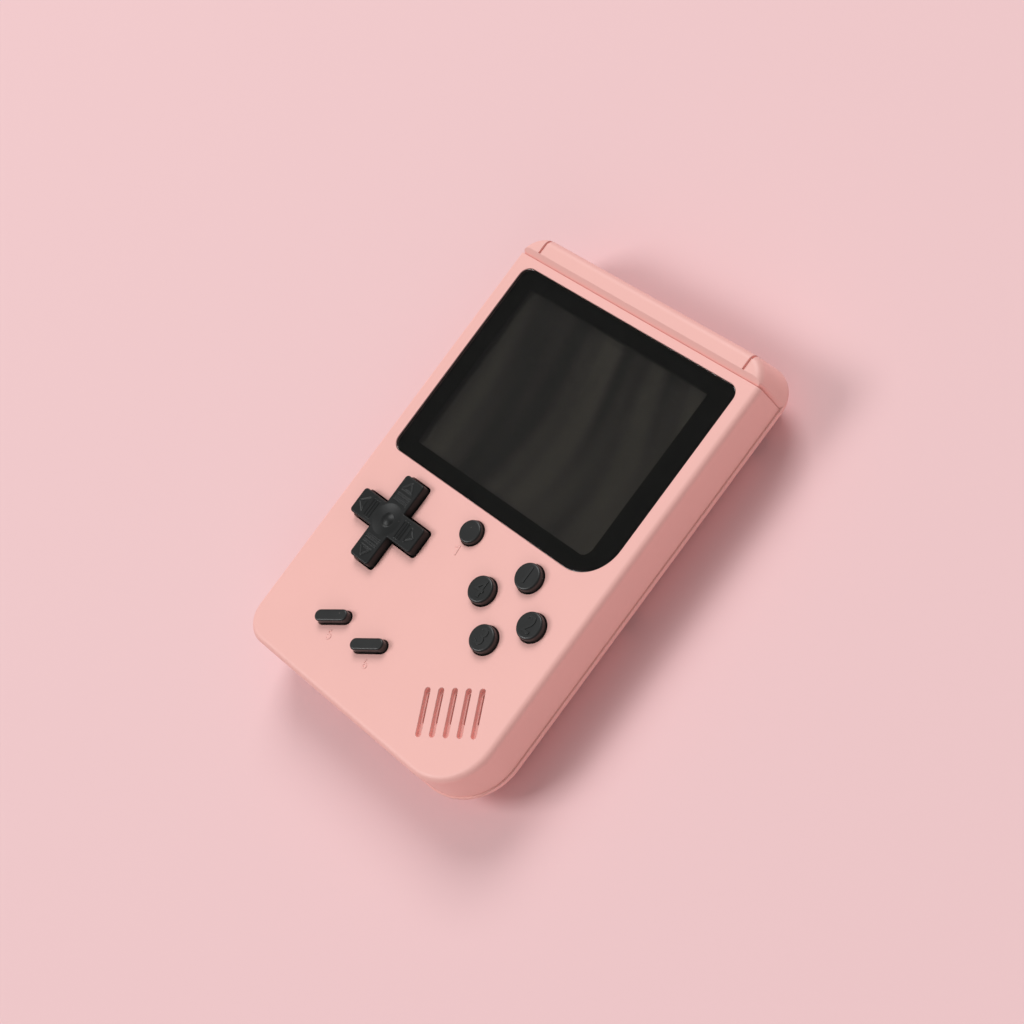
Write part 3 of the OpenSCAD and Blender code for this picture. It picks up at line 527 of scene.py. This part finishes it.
@dataclass(frozen=True)
class DisplayFilm:
    """Finish of the display that is switched off, with a painted reflection in lighter curved bands."""

    name: str
    dark: Colour
    # Colour of the painted reflection's bands
    light: Colour
    roughness: float = 0.5
    sheen: float = 0.1
    dust: float = 0.25

    def make(self, effects: Effects) -> bpy.types.Material:
        """Builds the material.

        Args:
            effects: The shared groups.

        Returns:
            The material.
        """
        work = Dresser(self.name)
        # The light colour is a painted reflection, mixed in along the curved bands
        mix = colour_mix(work.tree, self.light, self.dark)
        work.link(work.group(effects.streaks).outputs["Painted reflection"], mix.inputs[0])
        dust = work.group(effects.dust, Amount=self.dust)
        work.link(mix.outputs[MIX_RESULT], dust.inputs["Colour"])
        work.feed(dust.outputs["Colour"], "Base Color")
        work.set(Roughness=self.roughness, Specular_IOR_Level=self.sheen)
        return work.material


@dataclass(frozen=True)
class PlatedMetal:
    """Finish of plated or drawn metal."""

    name: str
    colour: Colour
    roughness: float = 0.25
    line_depth: float = 0.004

    def make(self, effects: Effects) -> bpy.types.Material:
        """Builds the material.

        Args:
            effects: The shared groups.

        Returns:
            The material.
        """
        work = Dresser(self.name)
        lines = work.group(effects.brushed, Roughness=self.roughness)
        work.set(Base_Color=(*self.colour, 1.0), Metallic=1.0)
        work.feed(lines.outputs["Roughness"], "Roughness")
        work.bump(lines.outputs["Height"], self.line_depth)
        return work.material


@dataclass(frozen=True)
class SpeakerCloth:
    """Finish of the dust cloth behind the speaker slots."""

    name: str
    thread: Colour
    gap: Colour
    threads_per_metre: float = 4200.0
    thread_depth: float = 0.04
    roughness: float = 0.9

    def make(self, effects: Effects) -> bpy.types.Material:
        """Builds the material.

        Args:
            effects: The shared groups.

        Returns:
            The material.
        """
        work = Dresser(self.name)
        weave = work.group(effects.weave, Threads_per_metre=self.threads_per_metre)
        mix = colour_mix(work.tree, self.thread, self.gap)
        work.link(weave.outputs["Shade"], mix.inputs[0])
        work.feed(mix.outputs[MIX_RESULT], "Base Color")
        work.set(Roughness=self.roughness)
        work.bump(weave.outputs["Height"], self.thread_depth)
        return work.material


class Finishes:
    """Every finish of the console, built once."""

    def __init__(self, effects: Effects) -> None:
        """Builds the materials.

        Args:
            effects: The shared groups.
        """
        plastic = MouldedPlastic
        made = (
            plastic("shell_pink", srgb(247, 189, 181), 0.46, Grain.SPARK, 0.02, edge=0.22, ripple=2.2),
            plastic("button_black", srgb(35, 36, 36), 0.36, Grain.SATIN, 0.10, 0.4, edge=0.18),
            plastic("pad_black", srgb(30, 31, 31), 0.42, Grain.SATIN, 0.10, 0.3, 0.3),
            plastic("mark_black", srgb(50, 51, 51), 0.26, Grain.SMOOTH, 0.05),
            plastic("print_black", srgb(19, 19, 16), 0.50, Grain.SMOOTH, 0.02, 0.0, 0.05),
            plastic("display_glass", srgb(38, 36, 32), 0.22, Grain.SMOOTH, 0.06),
            # The display's second colour is a painted reflection
            DisplayFilm("display_film", srgb(31, 28, 23), srgb(66, 61, 53)),
            plastic("bright_white", srgb(226, 224, 214), 0.45, Grain.SATIN),
            plastic("board_green", srgb(28, 96, 58), 0.35, Grain.SATIN, 0.20),
            plastic("chip_black", srgb(30, 30, 32), 0.50, Grain.SPARK, 0.05),
            plastic("rubber_grey", srgb(128, 128, 130), 0.65, Grain.SATIN, 0.06),
            plastic("foam_black", srgb(28, 28, 28), 0.85, Grain.SPARK, 0.10),
            plastic("amber_film", srgb(196, 120, 48), 0.30, Grain.SMOOTH, 0.05),
            plastic("battery_wrap", srgb(196, 200, 206), 0.35, Grain.SMOOTH, 0.05),
            PlatedMetal("nickel_plate", srgb(206, 207, 210)),
            PlatedMetal("magnet_plate", srgb(132, 132, 136), 0.4),
            PlatedMetal("gilt_spring", srgb(226, 184, 96), 0.2),
            ClearLens("lens_clear"),
            SpeakerCloth("dust_cloth", srgb(58, 50, 48), srgb(16, 14, 14)),
        )
        self.by_name = {finish.name: finish.make(effects) for finish in made}

    def dress(self, finish: str, *pieces: bpy.types.Object) -> None:
        """Gives pieces one finish.

        Args:
            finish: Name of the finish.
            *pieces: What takes it.
        """
        for piece in pieces:
            piece.data.materials.clear()
            piece.data.materials.append(self.by_name[finish])


def rounded_outline(low: Point, high: Point, radii: Sequence[float], steps: int = 14) -> list[Point]:
    """Outline of a rectangle with four corner radii.

    Args:
        low: Lower left corner.
        high: Upper right corner.
        radii: Radii from the lower left corner round to the upper left.
        steps: Points in each corner, less one.

    Returns:
        The points, anticlockwise from the lower left corner.
    """
    corners = (
        (low[0] + radii[0], low[1] + radii[0], 180.0),
        (high[0] - radii[1], low[1] + radii[1], 270.0),
        (high[0] - radii[2], high[1] - radii[2], 0.0),
        (low[0] + radii[3], high[1] - radii[3], 90.0),
    )
    points = []
    for (x, y, start), radius in zip(corners, radii):
        for step in range(steps + 1):
            turn = math.radians(start + 90 * step / steps)
            points.append((x + radius * math.cos(turn), y + radius * math.sin(turn)))
    return points


class MeshMaker:
    """Collects rings of points and joins them into one closed mesh."""

    def __init__(self) -> None:
        """Starts an empty mesh."""
        self.mesh = bmesh.new()

    def ring(self, points: Iterable[Point], height: float) -> list[bmesh.types.BMVert]:
        """Adds a level ring of points.

        Args:
            points: The plan points.
            height: Their height.

        Returns:
            The new vertices.
        """
        return [self.mesh.verts.new((x, y, height)) for x, y in points]

    def join(self, lower: Sequence[bmesh.types.BMVert], upper: Sequence[bmesh.types.BMVert]) -> None:
        """Joins two rings of the same count with a wall.

        Args:
            lower: The first ring.
            upper: The second ring.
        """
        count = len(lower)
        for i in range(count):
            j = (i + 1) % count
            self.mesh.faces.new((lower[i], lower[j], upper[j], upper[i]))

    def cap(self, ring: Sequence[bmesh.types.BMVert]) -> None:
        """Closes a ring with one face."""
        self.mesh.faces.new(ring)

    def slab(self, plan: Sequence[Point], low: float, high: float) -> None:
        """Adds a closed upright slab.

        Args:
            plan: Its outline.
            low: Height of its underside.
            high: Height of its top.
        """
        rings = [self.ring(plan, height) for height in (low, high)]
        self.join(*rings)
        for ring in rings:
            self.cap(ring)

    def done(self, name: str, smooth: float = 35.0) -> bpy.types.Object:
        """Turns the mesh into an object of the scene.

        Args:
            name: Name of the piece.
            smooth: Sharpest angle that is shaded smooth, in degrees.

        Returns:
            The object.
        """
        bmesh.ops.recalc_face_normals(self.mesh, faces=self.mesh.faces)
        for edge in self.mesh.edges:
            edge.smooth = edge.is_manifold and edge.calc_face_angle(0.0) < math.radians(smooth)
        for face in self.mesh.faces:
            face.smooth = True
        data = bpy.data.meshes.new(name)
        self.mesh.to_mesh(data)
        self.mesh.free()
        made = bpy.data.objects.new(name, data)
        bpy.context.scene.collection.objects.link(made)
        return made


@dataclass
class ScreenStack:
    """The lens with its printed border and the display under it."""

    finishes: Finishes
    corner: float = 2.8
    big_corner: float = 9.7
    bevel: float = 0.16
    bevel_land: float = 0.1
    bevel_turns: tuple[float, ...] = (0, 30, 60, 90)
    under_inset: float = 0.05
    window: Point = (59.4, 44.6)
    window_shift: float = -0.8
    window_corners: tuple[float, float, float, float] = (1.2, 2.6, 0.8, 0.8)
    print_inset: float = 0.12
    print_rise: float = 0.03
    print_t: float = 0.01
    film_edge: float = 1.4
    film_corner: float = 0.3
    film_t: float = 0.06

    def outline(self, inset: float) -> list[Point]:
        """Outline of the lens in metres.

        Args:
            inset: How far inside the lens's own edge, in millimetres.

        Returns:
            The points.
        """
        low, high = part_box("screen_lens")
        small, big = (self.corner - inset) * MM, (self.big_corner - inset) * MM
        step = inset * MM
        return rounded_outline(
            (low.x + step, low.y + step), (high.x - step, high.y - step), (small, big, small, small)
        )

    def window_outline(self) -> list[Point]:
        """Outline of the clear window in the printed border.

        Returns:
            The points in metres.
        """
        low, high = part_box("screen_lens")
        x = (low.x + high.x) / 2 + self.window_shift * MM
        y = (low.y + high.y) / 2
        w, h = self.window[0] * MM / 2, self.window[1] * MM / 2
        return rounded_outline((x - w, y - h), (x + w, y + h), [r * MM for r in self.window_corners])

    def lens(self) -> bpy.types.Object:
        """Builds the lens with softened edges.

        Returns:
            The lens.
        """
        low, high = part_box("screen_lens")
        make = MeshMaker()
        below = make.ring(self.outline(self.under_inset), low.z)
        make.cap(below)
        for turn in self.bevel_turns:
            inset = self.bevel * (1 - math.cos(math.radians(turn)))
            rise = self.bevel * (1 - math.sin(math.radians(turn))) * MM
            above = make.ring(self.outline(inset), high.z - rise)
            make.join(below, above)
            below = above
        level = make.ring(self.outline(self.bevel + self.bevel_land), high.z)
        make.join(below, level)
        make.cap(level)
        made = make.done("lens", 50.0)
        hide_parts("screen_lens")
        self.finishes.dress("lens_clear", made)
        return made

    def border(self) -> bpy.types.Object:
        """Builds the border that is printed on the lens's underside.

        Returns:
            The border.
        """
        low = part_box("screen_lens")[0]
        make = MeshMaker()
        height = low.z + self.print_rise * MM
        rings = [
            (make.ring(self.outline(self.print_inset), z), make.ring(self.window_outline(), z))
            for z in (height - self.print_t * MM, height)
        ]
        make.join(rings[0][0], rings[0][1])
        make.join(rings[1][0], rings[1][1])
        make.join(rings[0][0], rings[1][0])
        make.join(rings[0][1], rings[1][1])
        made = make.done("lens_border", 30.0)
        self.finishes.dress("print_black", made)
        return made

    def film(self) -> bpy.types.Object:
        """Builds the film on the display's face, which carries the painted reflection.

        Returns:
            The film.
        """
        low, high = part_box("lcd_panel")
        edge = self.film_edge * MM
        radii = [self.film_corner * MM] * 4
        make = MeshMaker()
        plan = rounded_outline((low.x + edge, low.y + edge), (high.x - edge, high.y - edge), radii)
        make.slab(plan, high.z, high.z + self.film_t * MM)
        made = make.done("display_film", 30.0)
        self.finishes.dress("display_film", made)
        return made

    def build(self) -> list[bpy.types.Object]:
        """Builds the stack and dresses its solids.

        Returns:
            The new pieces.
        """
        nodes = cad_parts
        self.finishes.dress("foam_black", nodes["lens_tape"])
        self.finishes.dress("display_glass", nodes["lcd_panel"])
        self.finishes.dress("bright_white", nodes["lcd_frame"], nodes["ribbon_socket"])
        self.finishes.dress("amber_film", nodes["lcd_ribbon"])
        return [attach(piece, "case") for piece in (self.lens(), self.border(), self.film())]


@dataclass
class NumberMark:
    """One raised number on a button or on the case."""

    text: str
    height: float
    relief: float
    slant: Slant = Slant.UPRIGHT
    type_share: float = 1.35
    edge: float = 0.03

    def build(self, name: str, spot: Vector) -> bpy.types.Object:
        """Builds the number as a thin mesh that stands a little out of its surface.

        Args:
            name: Name of the piece.
            spot: Middle of the number, on the surface.

        Returns:
            The number.
        """
        curve = bpy.data.curves.new(name, "FONT")
        curve.body = self.text
        curve.align_x, curve.align_y = "CENTER", "CENTER"
        curve.size = self.height * MM * self.type_share
        curve.extrude = self.relief * MM
        curve.bevel_depth = self.edge * MM
        curve.bevel_resolution = 1
        holder = bpy.data.objects.new(name + "_type", curve)
        bpy.context.scene.collection.objects.link(holder)
        bpy.context.view_layer.update()
        shape = holder.evaluated_get(bpy.context.evaluated_depsgraph_get())
        data = bpy.data.meshes.new_from_object(shape)
        bpy.data.objects.remove(holder)
        turn = Matrix.Rotation(math.radians(self.slant.value), 4, "Z")
        data.transform(Matrix.Translation(spot) @ turn)
        made = bpy.data.objects.new(name, data)
        bpy.context.scene.collection.objects.link(made)
        return made


@dataclass
class DirectionPad:
    """The pad: a cross with a dished middle, a small dome, ridges and sunk arrows."""

    finishes: Finishes
    half: float = 3.3
    flange: float = 1.2
    flange_rim: float = 1.3
    flange_height: float = 0.9
    flange_lift: float = 0.02
    relief: float = 0.25
    corner: float = 0.9
    rim: float = 0.4
    rim_turns: tuple[float, ...] = (90, 68, 46, 24, 0)
    step: float = 0.15
    least_step: float = 0.06
    dish: float = 4.05
    dish_depth: float = 0.5
    dome: float = 1.75
    dome_height: float = 0.62
    ridges: tuple[float, ...] = (4.9, 5.75, 6.6)
    ridge_reach: float = 2.3
    ridge_half: float = 0.24
    ridge_height: float = 0.17
    arrow: tuple[float, float, float] = (7.9, 10.0, 1.7)
    groove_half: float = 0.26
    groove_depth: float = 0.16

    def arm(self) -> float:
        """Reach of an arm from the middle, in millimetres."""
        low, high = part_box("dpad")
        return (high.x - low.x) / 2 / MM - self.flange

    def lines(self, arm: float) -> list[float]:
        """Grid lines of one axis, closer together at the rims.

        Args:
            arm: Reach of an arm.

        Returns:
            The lines in order.
        """
        near = [self.rim * (1 - math.sin(math.radians(turn))) for turn in self.rim_turns]
        fixed = [edge - back for edge in (arm, self.half) for back in near]
        plain = [place * self.step for place in range(round(2 * arm / self.step) // 2)]
        kept = [value for value in plain if all(abs(value - line) > self.least_step for line in fixed)]
        half = sorted(set(kept + fixed))
        return [-value for value in reversed(half) if value > 0] + half

    def rounded(self, x: float, y: float, arm: float) -> Point:
        """Draws a point of a square corner in to the corner's arc.

        Args:
            x: Place along X, from the middle.
            y: Place along Y, from the middle.
            arm: Reach of an arm.

        Returns:
            The point's new place.
        """
        long, short = max(abs(x), abs(y)), min(abs(x), abs(y))
        u, v = long - (arm - self.corner), short - (self.half - self.corner)
        if u <= 0 or v <= 0:
            return x, y
        shrink = max(u, v) / math.hypot(u, v)
        new_long, new_short = arm - self.corner + u * shrink, self.half - self.corner + v * shrink
        across = (new_long, new_short) if abs(x) > abs(y) else (new_short, new_long)
        return math.copysign(across[0], x), math.copysign(across[1], y)

    def from_rim(self, x: float, y: float, arm: float) -> float:
        """Distance of a point from the rim of the cross.

        Args:
            x: Place along X, from the middle.
            y: Place along Y, from the middle.
            arm: Reach of an arm.

        Returns:
            The distance in millimetres.
        """
        long, short = max(abs(x), abs(y)), min(abs(x), abs(y))
        if long <= self.half:
            return math.hypot(self.half - long, self.half - short)
        u, v = long - (arm - self.corner), short - (self.half - self.corner)
        if u > 0 and v > 0:
            return self.corner - math.hypot(u, v)
        return min(self.half - short, arm - long)

    def arrow_depth(self, along: float, across: float) -> float:
        """How deep the outline of an arrow is sunk at a point of an arm.

        Args:
            along: Place along the arm, from the middle.
            across: Place across the arm.

        Returns:
            The depth in millimetres.
        """
        base, tip, width = self.arrow
        corners = ((base, -width), (tip, 0.0), (base, width))
        distances = []
        for start, end in zip(corners, corners[1:] + corners[:1]):
            run = (end[0] - start[0], end[1] - start[1])
            share = (along - start[0]) * run[0] + (across - start[1]) * run[1]
            share = min(max(share / (run[0] ** 2 + run[1] ** 2), 0.0), 1.0)
            place = (start[0] + share * run[0], start[1] + share * run[1])
            distances.append(math.dist((along, across), place))
        return self.groove_depth * max(0.0, 1 - (min(distances) / self.groove_half) ** 2)

    def height(self, x: float, y: float, arm: float) -> float:
        """Height of the top at a point, from the plain level of the arms.

        Args:
            x: Place along X, from the middle.
            y: Place along Y, from the middle.
            arm: Reach of an arm.

        Returns:
            The height in millimetres.
        """
        away = math.hypot(x, y)
        rise = -self.dish_depth * max(0.0, 1 - (away / self.dish) ** 2)
        rise += self.dome_height * max(0.0, 1 - (away / self.dome) ** 2)
        along, across = max(abs(x), abs(y)), min(abs(x), abs(y))
        for ridge in self.ridges:
            near = abs(along - ridge) / self.ridge_half
            if near < 1 and across < self.ridge_reach and away > self.dish:
                rise += self.ridge_height * math.cos(near * math.pi / 2)
        if along > self.half:
            rise -= self.arrow_depth(along, across)
        back = max(0.0, self.rim - max(0.0, self.from_rim(x, y, arm)))
        return rise - (self.rim - math.sqrt(self.rim ** 2 - back ** 2))

    def build(self) -> list[bpy.types.Object]:
        """Builds the pad and its hidden flange as one mesh.

        Returns:
            The pad.
        """
        low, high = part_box("dpad")
        centre = (low + high) / 2
        top = high.z - self.relief * MM
        arm = self.arm()
        lines = self.lines(arm)
        make = MeshMaker()
        points: dict[tuple[int, int], bmesh.types.BMVert] = {}
        for i, x in enumerate(lines):
            for j, y in enumerate(lines):
                if min(abs(x), abs(y)) > self.half + TINY:
                    continue
                px, py = self.rounded(x, y, arm)
                level = top + self.height(px, py, arm) * MM
                points[i, j] = make.mesh.verts.new((centre.x + px * MM, centre.y + py * MM, level))
        for i, j in list(points):
            ring = [points.get(spot) for spot in ((i, j), (i + 1, j), (i + 1, j + 1), (i, j + 1))]
            middle = (lines[i] + lines[min(i + 1, len(lines) - 1)]) / 2
            other = (lines[j] + lines[min(j + 1, len(lines) - 1)]) / 2
            if all(ring) and min(abs(middle), abs(other)) < self.half:
                make.mesh.faces.new(ring)
        self.close_below(make, low.z)
        self.add_flange(make, centre, low.z, arm)
        made = make.done("pad_cross", 40.0)
        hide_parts("dpad")
        self.finishes.dress("pad_black", made)
        return [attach(made, "pad")]

    def close_below(self, make: MeshMaker, floor: float) -> None:
        """Runs the rim straight down and closes the underside.

        Args:
            make: The mesh so far, open at its rim.
            floor: Height of the underside.
        """
        rim = [edge for edge in make.mesh.edges if edge.is_boundary]
        grown = bmesh.ops.extrude_edge_only(make.mesh, edges=rim)["geom"]
        for vertex in grown:
            if isinstance(vertex, bmesh.types.BMVert):
                vertex.co.z = floor
        open_edges = [edge for edge in make.mesh.edges if edge.is_boundary]
        bmesh.ops.contextual_create(make.mesh, geom=open_edges)

    def add_flange(self, make: MeshMaker, centre: Vector, floor: float, arm: float) -> None:
        """Adds the flange that keeps the pad under the shell.

        Args:
            make: The mesh so far.
            centre: Middle of the pad.
            floor: Height of the underside.
            arm: Reach of an arm.
        """
        far, near = arm + self.flange, self.half + self.flange_rim
        quarter = ((far, -near), (far, near), (near, near))
        plan = []
        for turn in range(4):
            c, s = (1, 0, -1, 0)[turn], (0, 1, 0, -1)[turn]
            plan += [(centre.x + (c * x - s * y) * MM, centre.y + (s * x + c * y) * MM) for x, y in quarter]
        make.slab(plan, floor + self.flange_lift * MM, floor + self.flange_height * MM)


@dataclass
class PushButtons:
    """The action buttons, the reset button, the two menu buttons and their rubber."""

    finishes: Finishes
    mark: float = 4.4
    relief: float = 0.14
    numbers: dict[str, str] = field(
        default_factory=lambda: {"top": "1", "right": "2", "bottom": "3", "left": "4"}
    )

    def numbered(self, side: str) -> bpy.types.Object:
        """Sets a raised number on one action button.

        Args:
            side: Which button.

        Returns:
            The number.
        """
        low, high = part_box("action_" + side)
        spot = Vector(((low.x + high.x) / 2, (low.y + high.y) / 2, high.z))
        made = NumberMark(self.numbers[side], self.mark, self.relief).build("number_" + side, spot)
        self.finishes.dress("mark_black", made)
        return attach(made, "button_" + side)

    def build(self) -> list[bpy.types.Object]:
        """Builds the numbers and dresses the buttons.

        Returns:
            The numbers.
        """
        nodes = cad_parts
        black = ["reset_button", "select_button", "start_button"]
        black += ["action_" + side for side in self.numbers]
        self.finishes.dress("button_black", *(nodes[name] for name in black))
        rubber = ["dpad_plungers", "dpad_membrane", "action_membrane", "reset_membrane", "menu_membrane"]
        rubber += ["reset_plunger", "select_plunger", "start_plunger"]
        rubber += ["plunger_" + side for side in self.numbers]
        self.finishes.dress("rubber_grey", *(nodes[name] for name in rubber))
        self.finishes.dress("bright_white", nodes["dpad_pivot"], nodes["dpad_post"])
        return [self.numbered(side) for side in self.numbers]


@dataclass
class SideControls:
    """The volume wheel, the power switch and the sockets."""

    finishes: Finishes
    ribs: int = 4
    rib_height: float = 0.22
    rib_rest: float = 0.15
    rib_points: tuple[float, ...] = (0.85, 0.68, 0.5, 0.32, 0.15)
    knob_depth: float = 3.9
    stem_half: Point = (0.8, 0.55)
    contacts: int = 5
    contact_pitch: float = 0.65
    contact_half: float = 0.13
    contact_ends: Point = (0.9, 1.2)
    contact_t: float = 0.08
    contact_drop: float = 0.31

    def knob(self) -> bpy.types.Object:
        """Builds the power knob with ribs for the thumb.

        Returns:
            The knob.
        """
        low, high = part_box("power_knob")
        back = low.x + self.knob_depth * MM
        middle = (low.y + high.y) / 2
        face = low.x + self.rib_height * MM
        plan: list[Point] = [(back, low.y), (back, high.y), (face, high.y)]
        pitch = (high.y - low.y) / self.ribs
        for rib in reversed(range(self.ribs)):
            start = low.y + rib * pitch
            for share in self.rib_points:
                turn = math.pi * (share - self.rib_rest) / (1 - 2 * self.rib_rest)
                plan.append((face - self.rib_height * MM * math.sin(turn), start + share * pitch))
        plan.append((face, low.y))
        make = MeshMaker()
        make.slab(plan, low.z, high.z)
        wide, tall = (reach * MM for reach in self.stem_half)
        near, far = middle - wide, middle + wide
        centre = (low.z + high.z) / 2
        make.slab(((back, near), (high.x, near), (high.x, far), (back, far)), centre - tall, centre + tall)
        made = make.done("power_knob_ribbed", 40.0)
        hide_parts("power_knob")
        self.finishes.dress("button_black", made)
        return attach(made, "power")

    def charge_contacts(self) -> bpy.types.Object:
        """Builds the gilt contacts on the tongue of the charging socket.

        Returns:
            The contacts.
        """
        low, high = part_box("usb_socket")
        floor = (low.z + high.z) / 2 - self.contact_drop * MM
        near, far = low.y + self.contact_ends[0] * MM, high.y - self.contact_ends[1] * MM
        half = self.contact_half * MM
        make = MeshMaker()
        for place in range(self.contacts):
            x = (low.x + high.x) / 2 + (place - (self.contacts - 1) / 2) * self.contact_pitch * MM
            plan = ((x - half, near), (x + half, near), (x + half, far), (x - half, far))
            make.slab(plan, floor, floor + self.contact_t * MM)
        made = make.done("charge_contacts", 30.0)
        self.finishes.dress("gilt_spring", made)
        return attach(made, "case")

    def build(self) -> list[bpy.types.Object]:
        """Builds the knob and the contacts and dresses the rest.

        Returns:
            The knob and the contacts.
        """
        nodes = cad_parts
        plated = ("volume_pot", "power_switch_body", "usb_socket")
        self.finishes.dress("button_black", nodes["volume_wheel"])
        self.finishes.dress("nickel_plate", *(nodes[name] for name in plated))
        self.finishes.dress("chip_black", nodes["av_jack"])
        return [self.knob(), self.charge_contacts()]


@dataclass
class CaseShells:
    """The two shells, the battery cover, the fasteners and what they close in."""

    finishes: Finishes
    numbers: tuple[tuple[str, str, Point], ...] = (
        ("5", "select_button", (1.65, -3.9)),
        ("6", "start_button", (1.65, -3.9)),
        ("7", "reset_button", (-0.6, -5.2)),
    )
    mark: float = 2.4
    relief: float = 0.09

    def build(self) -> list[bpy.types.Object]:
        """Dresses the solids and builds the raised numbers by the buttons.

        Returns:
            The numbers.
        """
        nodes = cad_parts
        looks = {
            "shell_pink": ("front_shell", "back_shell", "battery_cover"),
            "nickel_plate": ("case_screws", "board_screws", "crystal_can", "speaker_frame"),
            "board_green": ("main_board",),
            "chip_black": ("board_chips", "board_capacitors"),
            "foam_black": ("speaker_cone",),
            "magnet_plate": ("speaker_magnet",),
            "dust_cloth": ("speaker_mesh",),
            "battery_wrap": ("battery",),
            "gilt_spring": ("battery_contacts",),
        }
        for finish, names in looks.items():
            self.finishes.dress(finish, *(nodes[name] for name in names))
        made = []
        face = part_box("front_shell")[1].z
        for text, button, away in self.numbers:
            low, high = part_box(button)
            spot = (low + high) / 2 + Vector((*away, 0.0)) * MM
            spot.z = face
            mark = NumberMark(text, self.mark, self.relief, Slant.MENU)
            piece = mark.build("number_case_" + text, spot)
            self.finishes.dress("shell_pink", piece)
            made.append(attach(piece, "case"))
        return made


@dataclass(frozen=True)
class Lamp:
    """A soft square lamp that faces the console: metres and watts."""

    name: str
    place: Point
    height: float
    side: float
    power: float
    mirrored: bool = True

    def build(self) -> None:
        """Sets the lamp up, and hides it from mirror-like surfaces where it isn't mirrored."""
        light = bpy.data.lights.new(self.name, "AREA")
        light.shape, light.size, light.energy = "SQUARE", self.side, self.power
        made = bpy.data.objects.new(self.name, light)
        made.location = (*self.place, self.height)
        made.rotation_mode = "QUATERNION"
        made.rotation_quaternion = (-made.location).to_track_quat("-Z", "Y")
        made.visible_glossy = self.mirrored
        made.visible_transmission = self.mirrored
        bpy.context.scene.collection.objects.link(made)


@dataclass
class Studio:
    """Floor, light and camera."""

    floor_colour: Colour = srgb(241, 202, 204)
    sky_colour: Colour = (1.0, 0.985, 0.98)
    sky_strength: float = 0.30
    sky_mirrored: float = 0.13
    lamps: tuple[Lamp, ...] = (
        Lamp("key", (-1.8, -1.8), 3.1, 1.5, 63.0),
        Lamp("back", (-1.4, 2.4), 2.9, 2.0, 79.0),
        Lamp("fill", (2.2, -1.6), 1.3, 1.6, 11.0, mirrored=False),
    )
    reach: float = 3.0
    floor_gap: float = 0.02
    camera_place: tuple[float, float, float] = (291.82, -16.86, 378.51)
    camera_turn: tuple[float, float, float] = (2.62396277, 0.84909075, -0.89961916)
    focal: float = 72.747

    def floor(self) -> bpy.types.Object:
        """Builds the plain floor.

        Returns:
            The floor.
        """
        make = MeshMaker()
        low, high = -self.reach, self.reach
        plan = ((low, low), (high, low), (high, high), (low, high))
        make.cap(make.ring(plan, -self.floor_gap * MM))
        made = make.done("floor")
        work = Dresser("floor_paint")
        work.set(Base_Color=(*self.floor_colour, 1.0), Roughness=0.9, Specular_IOR_Level=0.1)
        made.data.materials.append(work.material)
        made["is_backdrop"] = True
        return made

    def sky(self) -> None:
        """Lights everything evenly, darker in mirror-like surfaces and floor-coloured to the camera."""
        world = bpy.data.worlds.new("studio")
        world.use_nodes = True
        tree = world.node_tree
        back = tree.nodes["Background"]
        path = tree.nodes.new("ShaderNodeLightPath")
        seen = [channel / self.sky_strength for channel in self.floor_colour]
        tint = colour_mix(tree, seen, self.sky_colour)
        tree.links.new(path.outputs["Is Camera Ray"], tint.inputs[0])
        tree.links.new(tint.outputs[MIX_RESULT], back.inputs["Color"])
        strength = tree.nodes.new("ShaderNodeMix")
        strength.inputs["A"].default_value = self.sky_strength
        strength.inputs["B"].default_value = self.sky_mirrored
        tree.links.new(path.outputs["Is Glossy Ray"], strength.inputs[0])
        tree.links.new(strength.outputs[0], back.inputs["Strength"])
        bpy.context.scene.world = world

    def camera(self) -> None:
        """Sets the camera at the photograph's angle."""
        data = bpy.data.cameras.new("camera")
        data.sensor_width = 36.0
        data.lens = self.focal
        data.clip_start, data.clip_end = 0.02, 20.0
        made = bpy.data.objects.new("camera", data)
        turn = Vector(self.camera_turn)
        seen = Matrix.Rotation(turn.length, 3, turn.normalized())
        flip = Matrix(((1, 0, 0), (0, -1, 0), (0, 0, -1)))
        place = Matrix.Translation(Vector(self.camera_place) * MM)
        made.matrix_world = place @ (seen.transposed() @ flip).to_4x4()
        bpy.context.scene.collection.objects.link(made)
        bpy.context.scene.camera = made

    def build(self) -> None:
        """Sets up the studio."""
        self.floor()
        self.sky()
        for lamp in self.lamps:
            lamp.build()
        self.camera()
        bpy.context.scene.view_settings.view_transform = "Standard"


def corners() -> list[list[float]]:
    """Lowest and highest corner of the object, as plain lists."""
    return [[float(value) for value in corner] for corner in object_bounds()]


def main() -> None:
    """Builds each sub-assembly in order."""
    logging.basicConfig(level=logging.INFO, format="%(name)s: %(message)s")
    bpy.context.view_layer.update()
    Studio().build()
    finishes = Finishes(Effects())
    assemblies = (CaseShells, ScreenStack, DirectionPad, PushButtons, SideControls)
    for assembly in (maker(finishes) for maker in assemblies):
        for piece in assembly.build():
            log.info("%s: %s", type(assembly).__name__, piece.name)


if __name__ == "__main__":
    main()
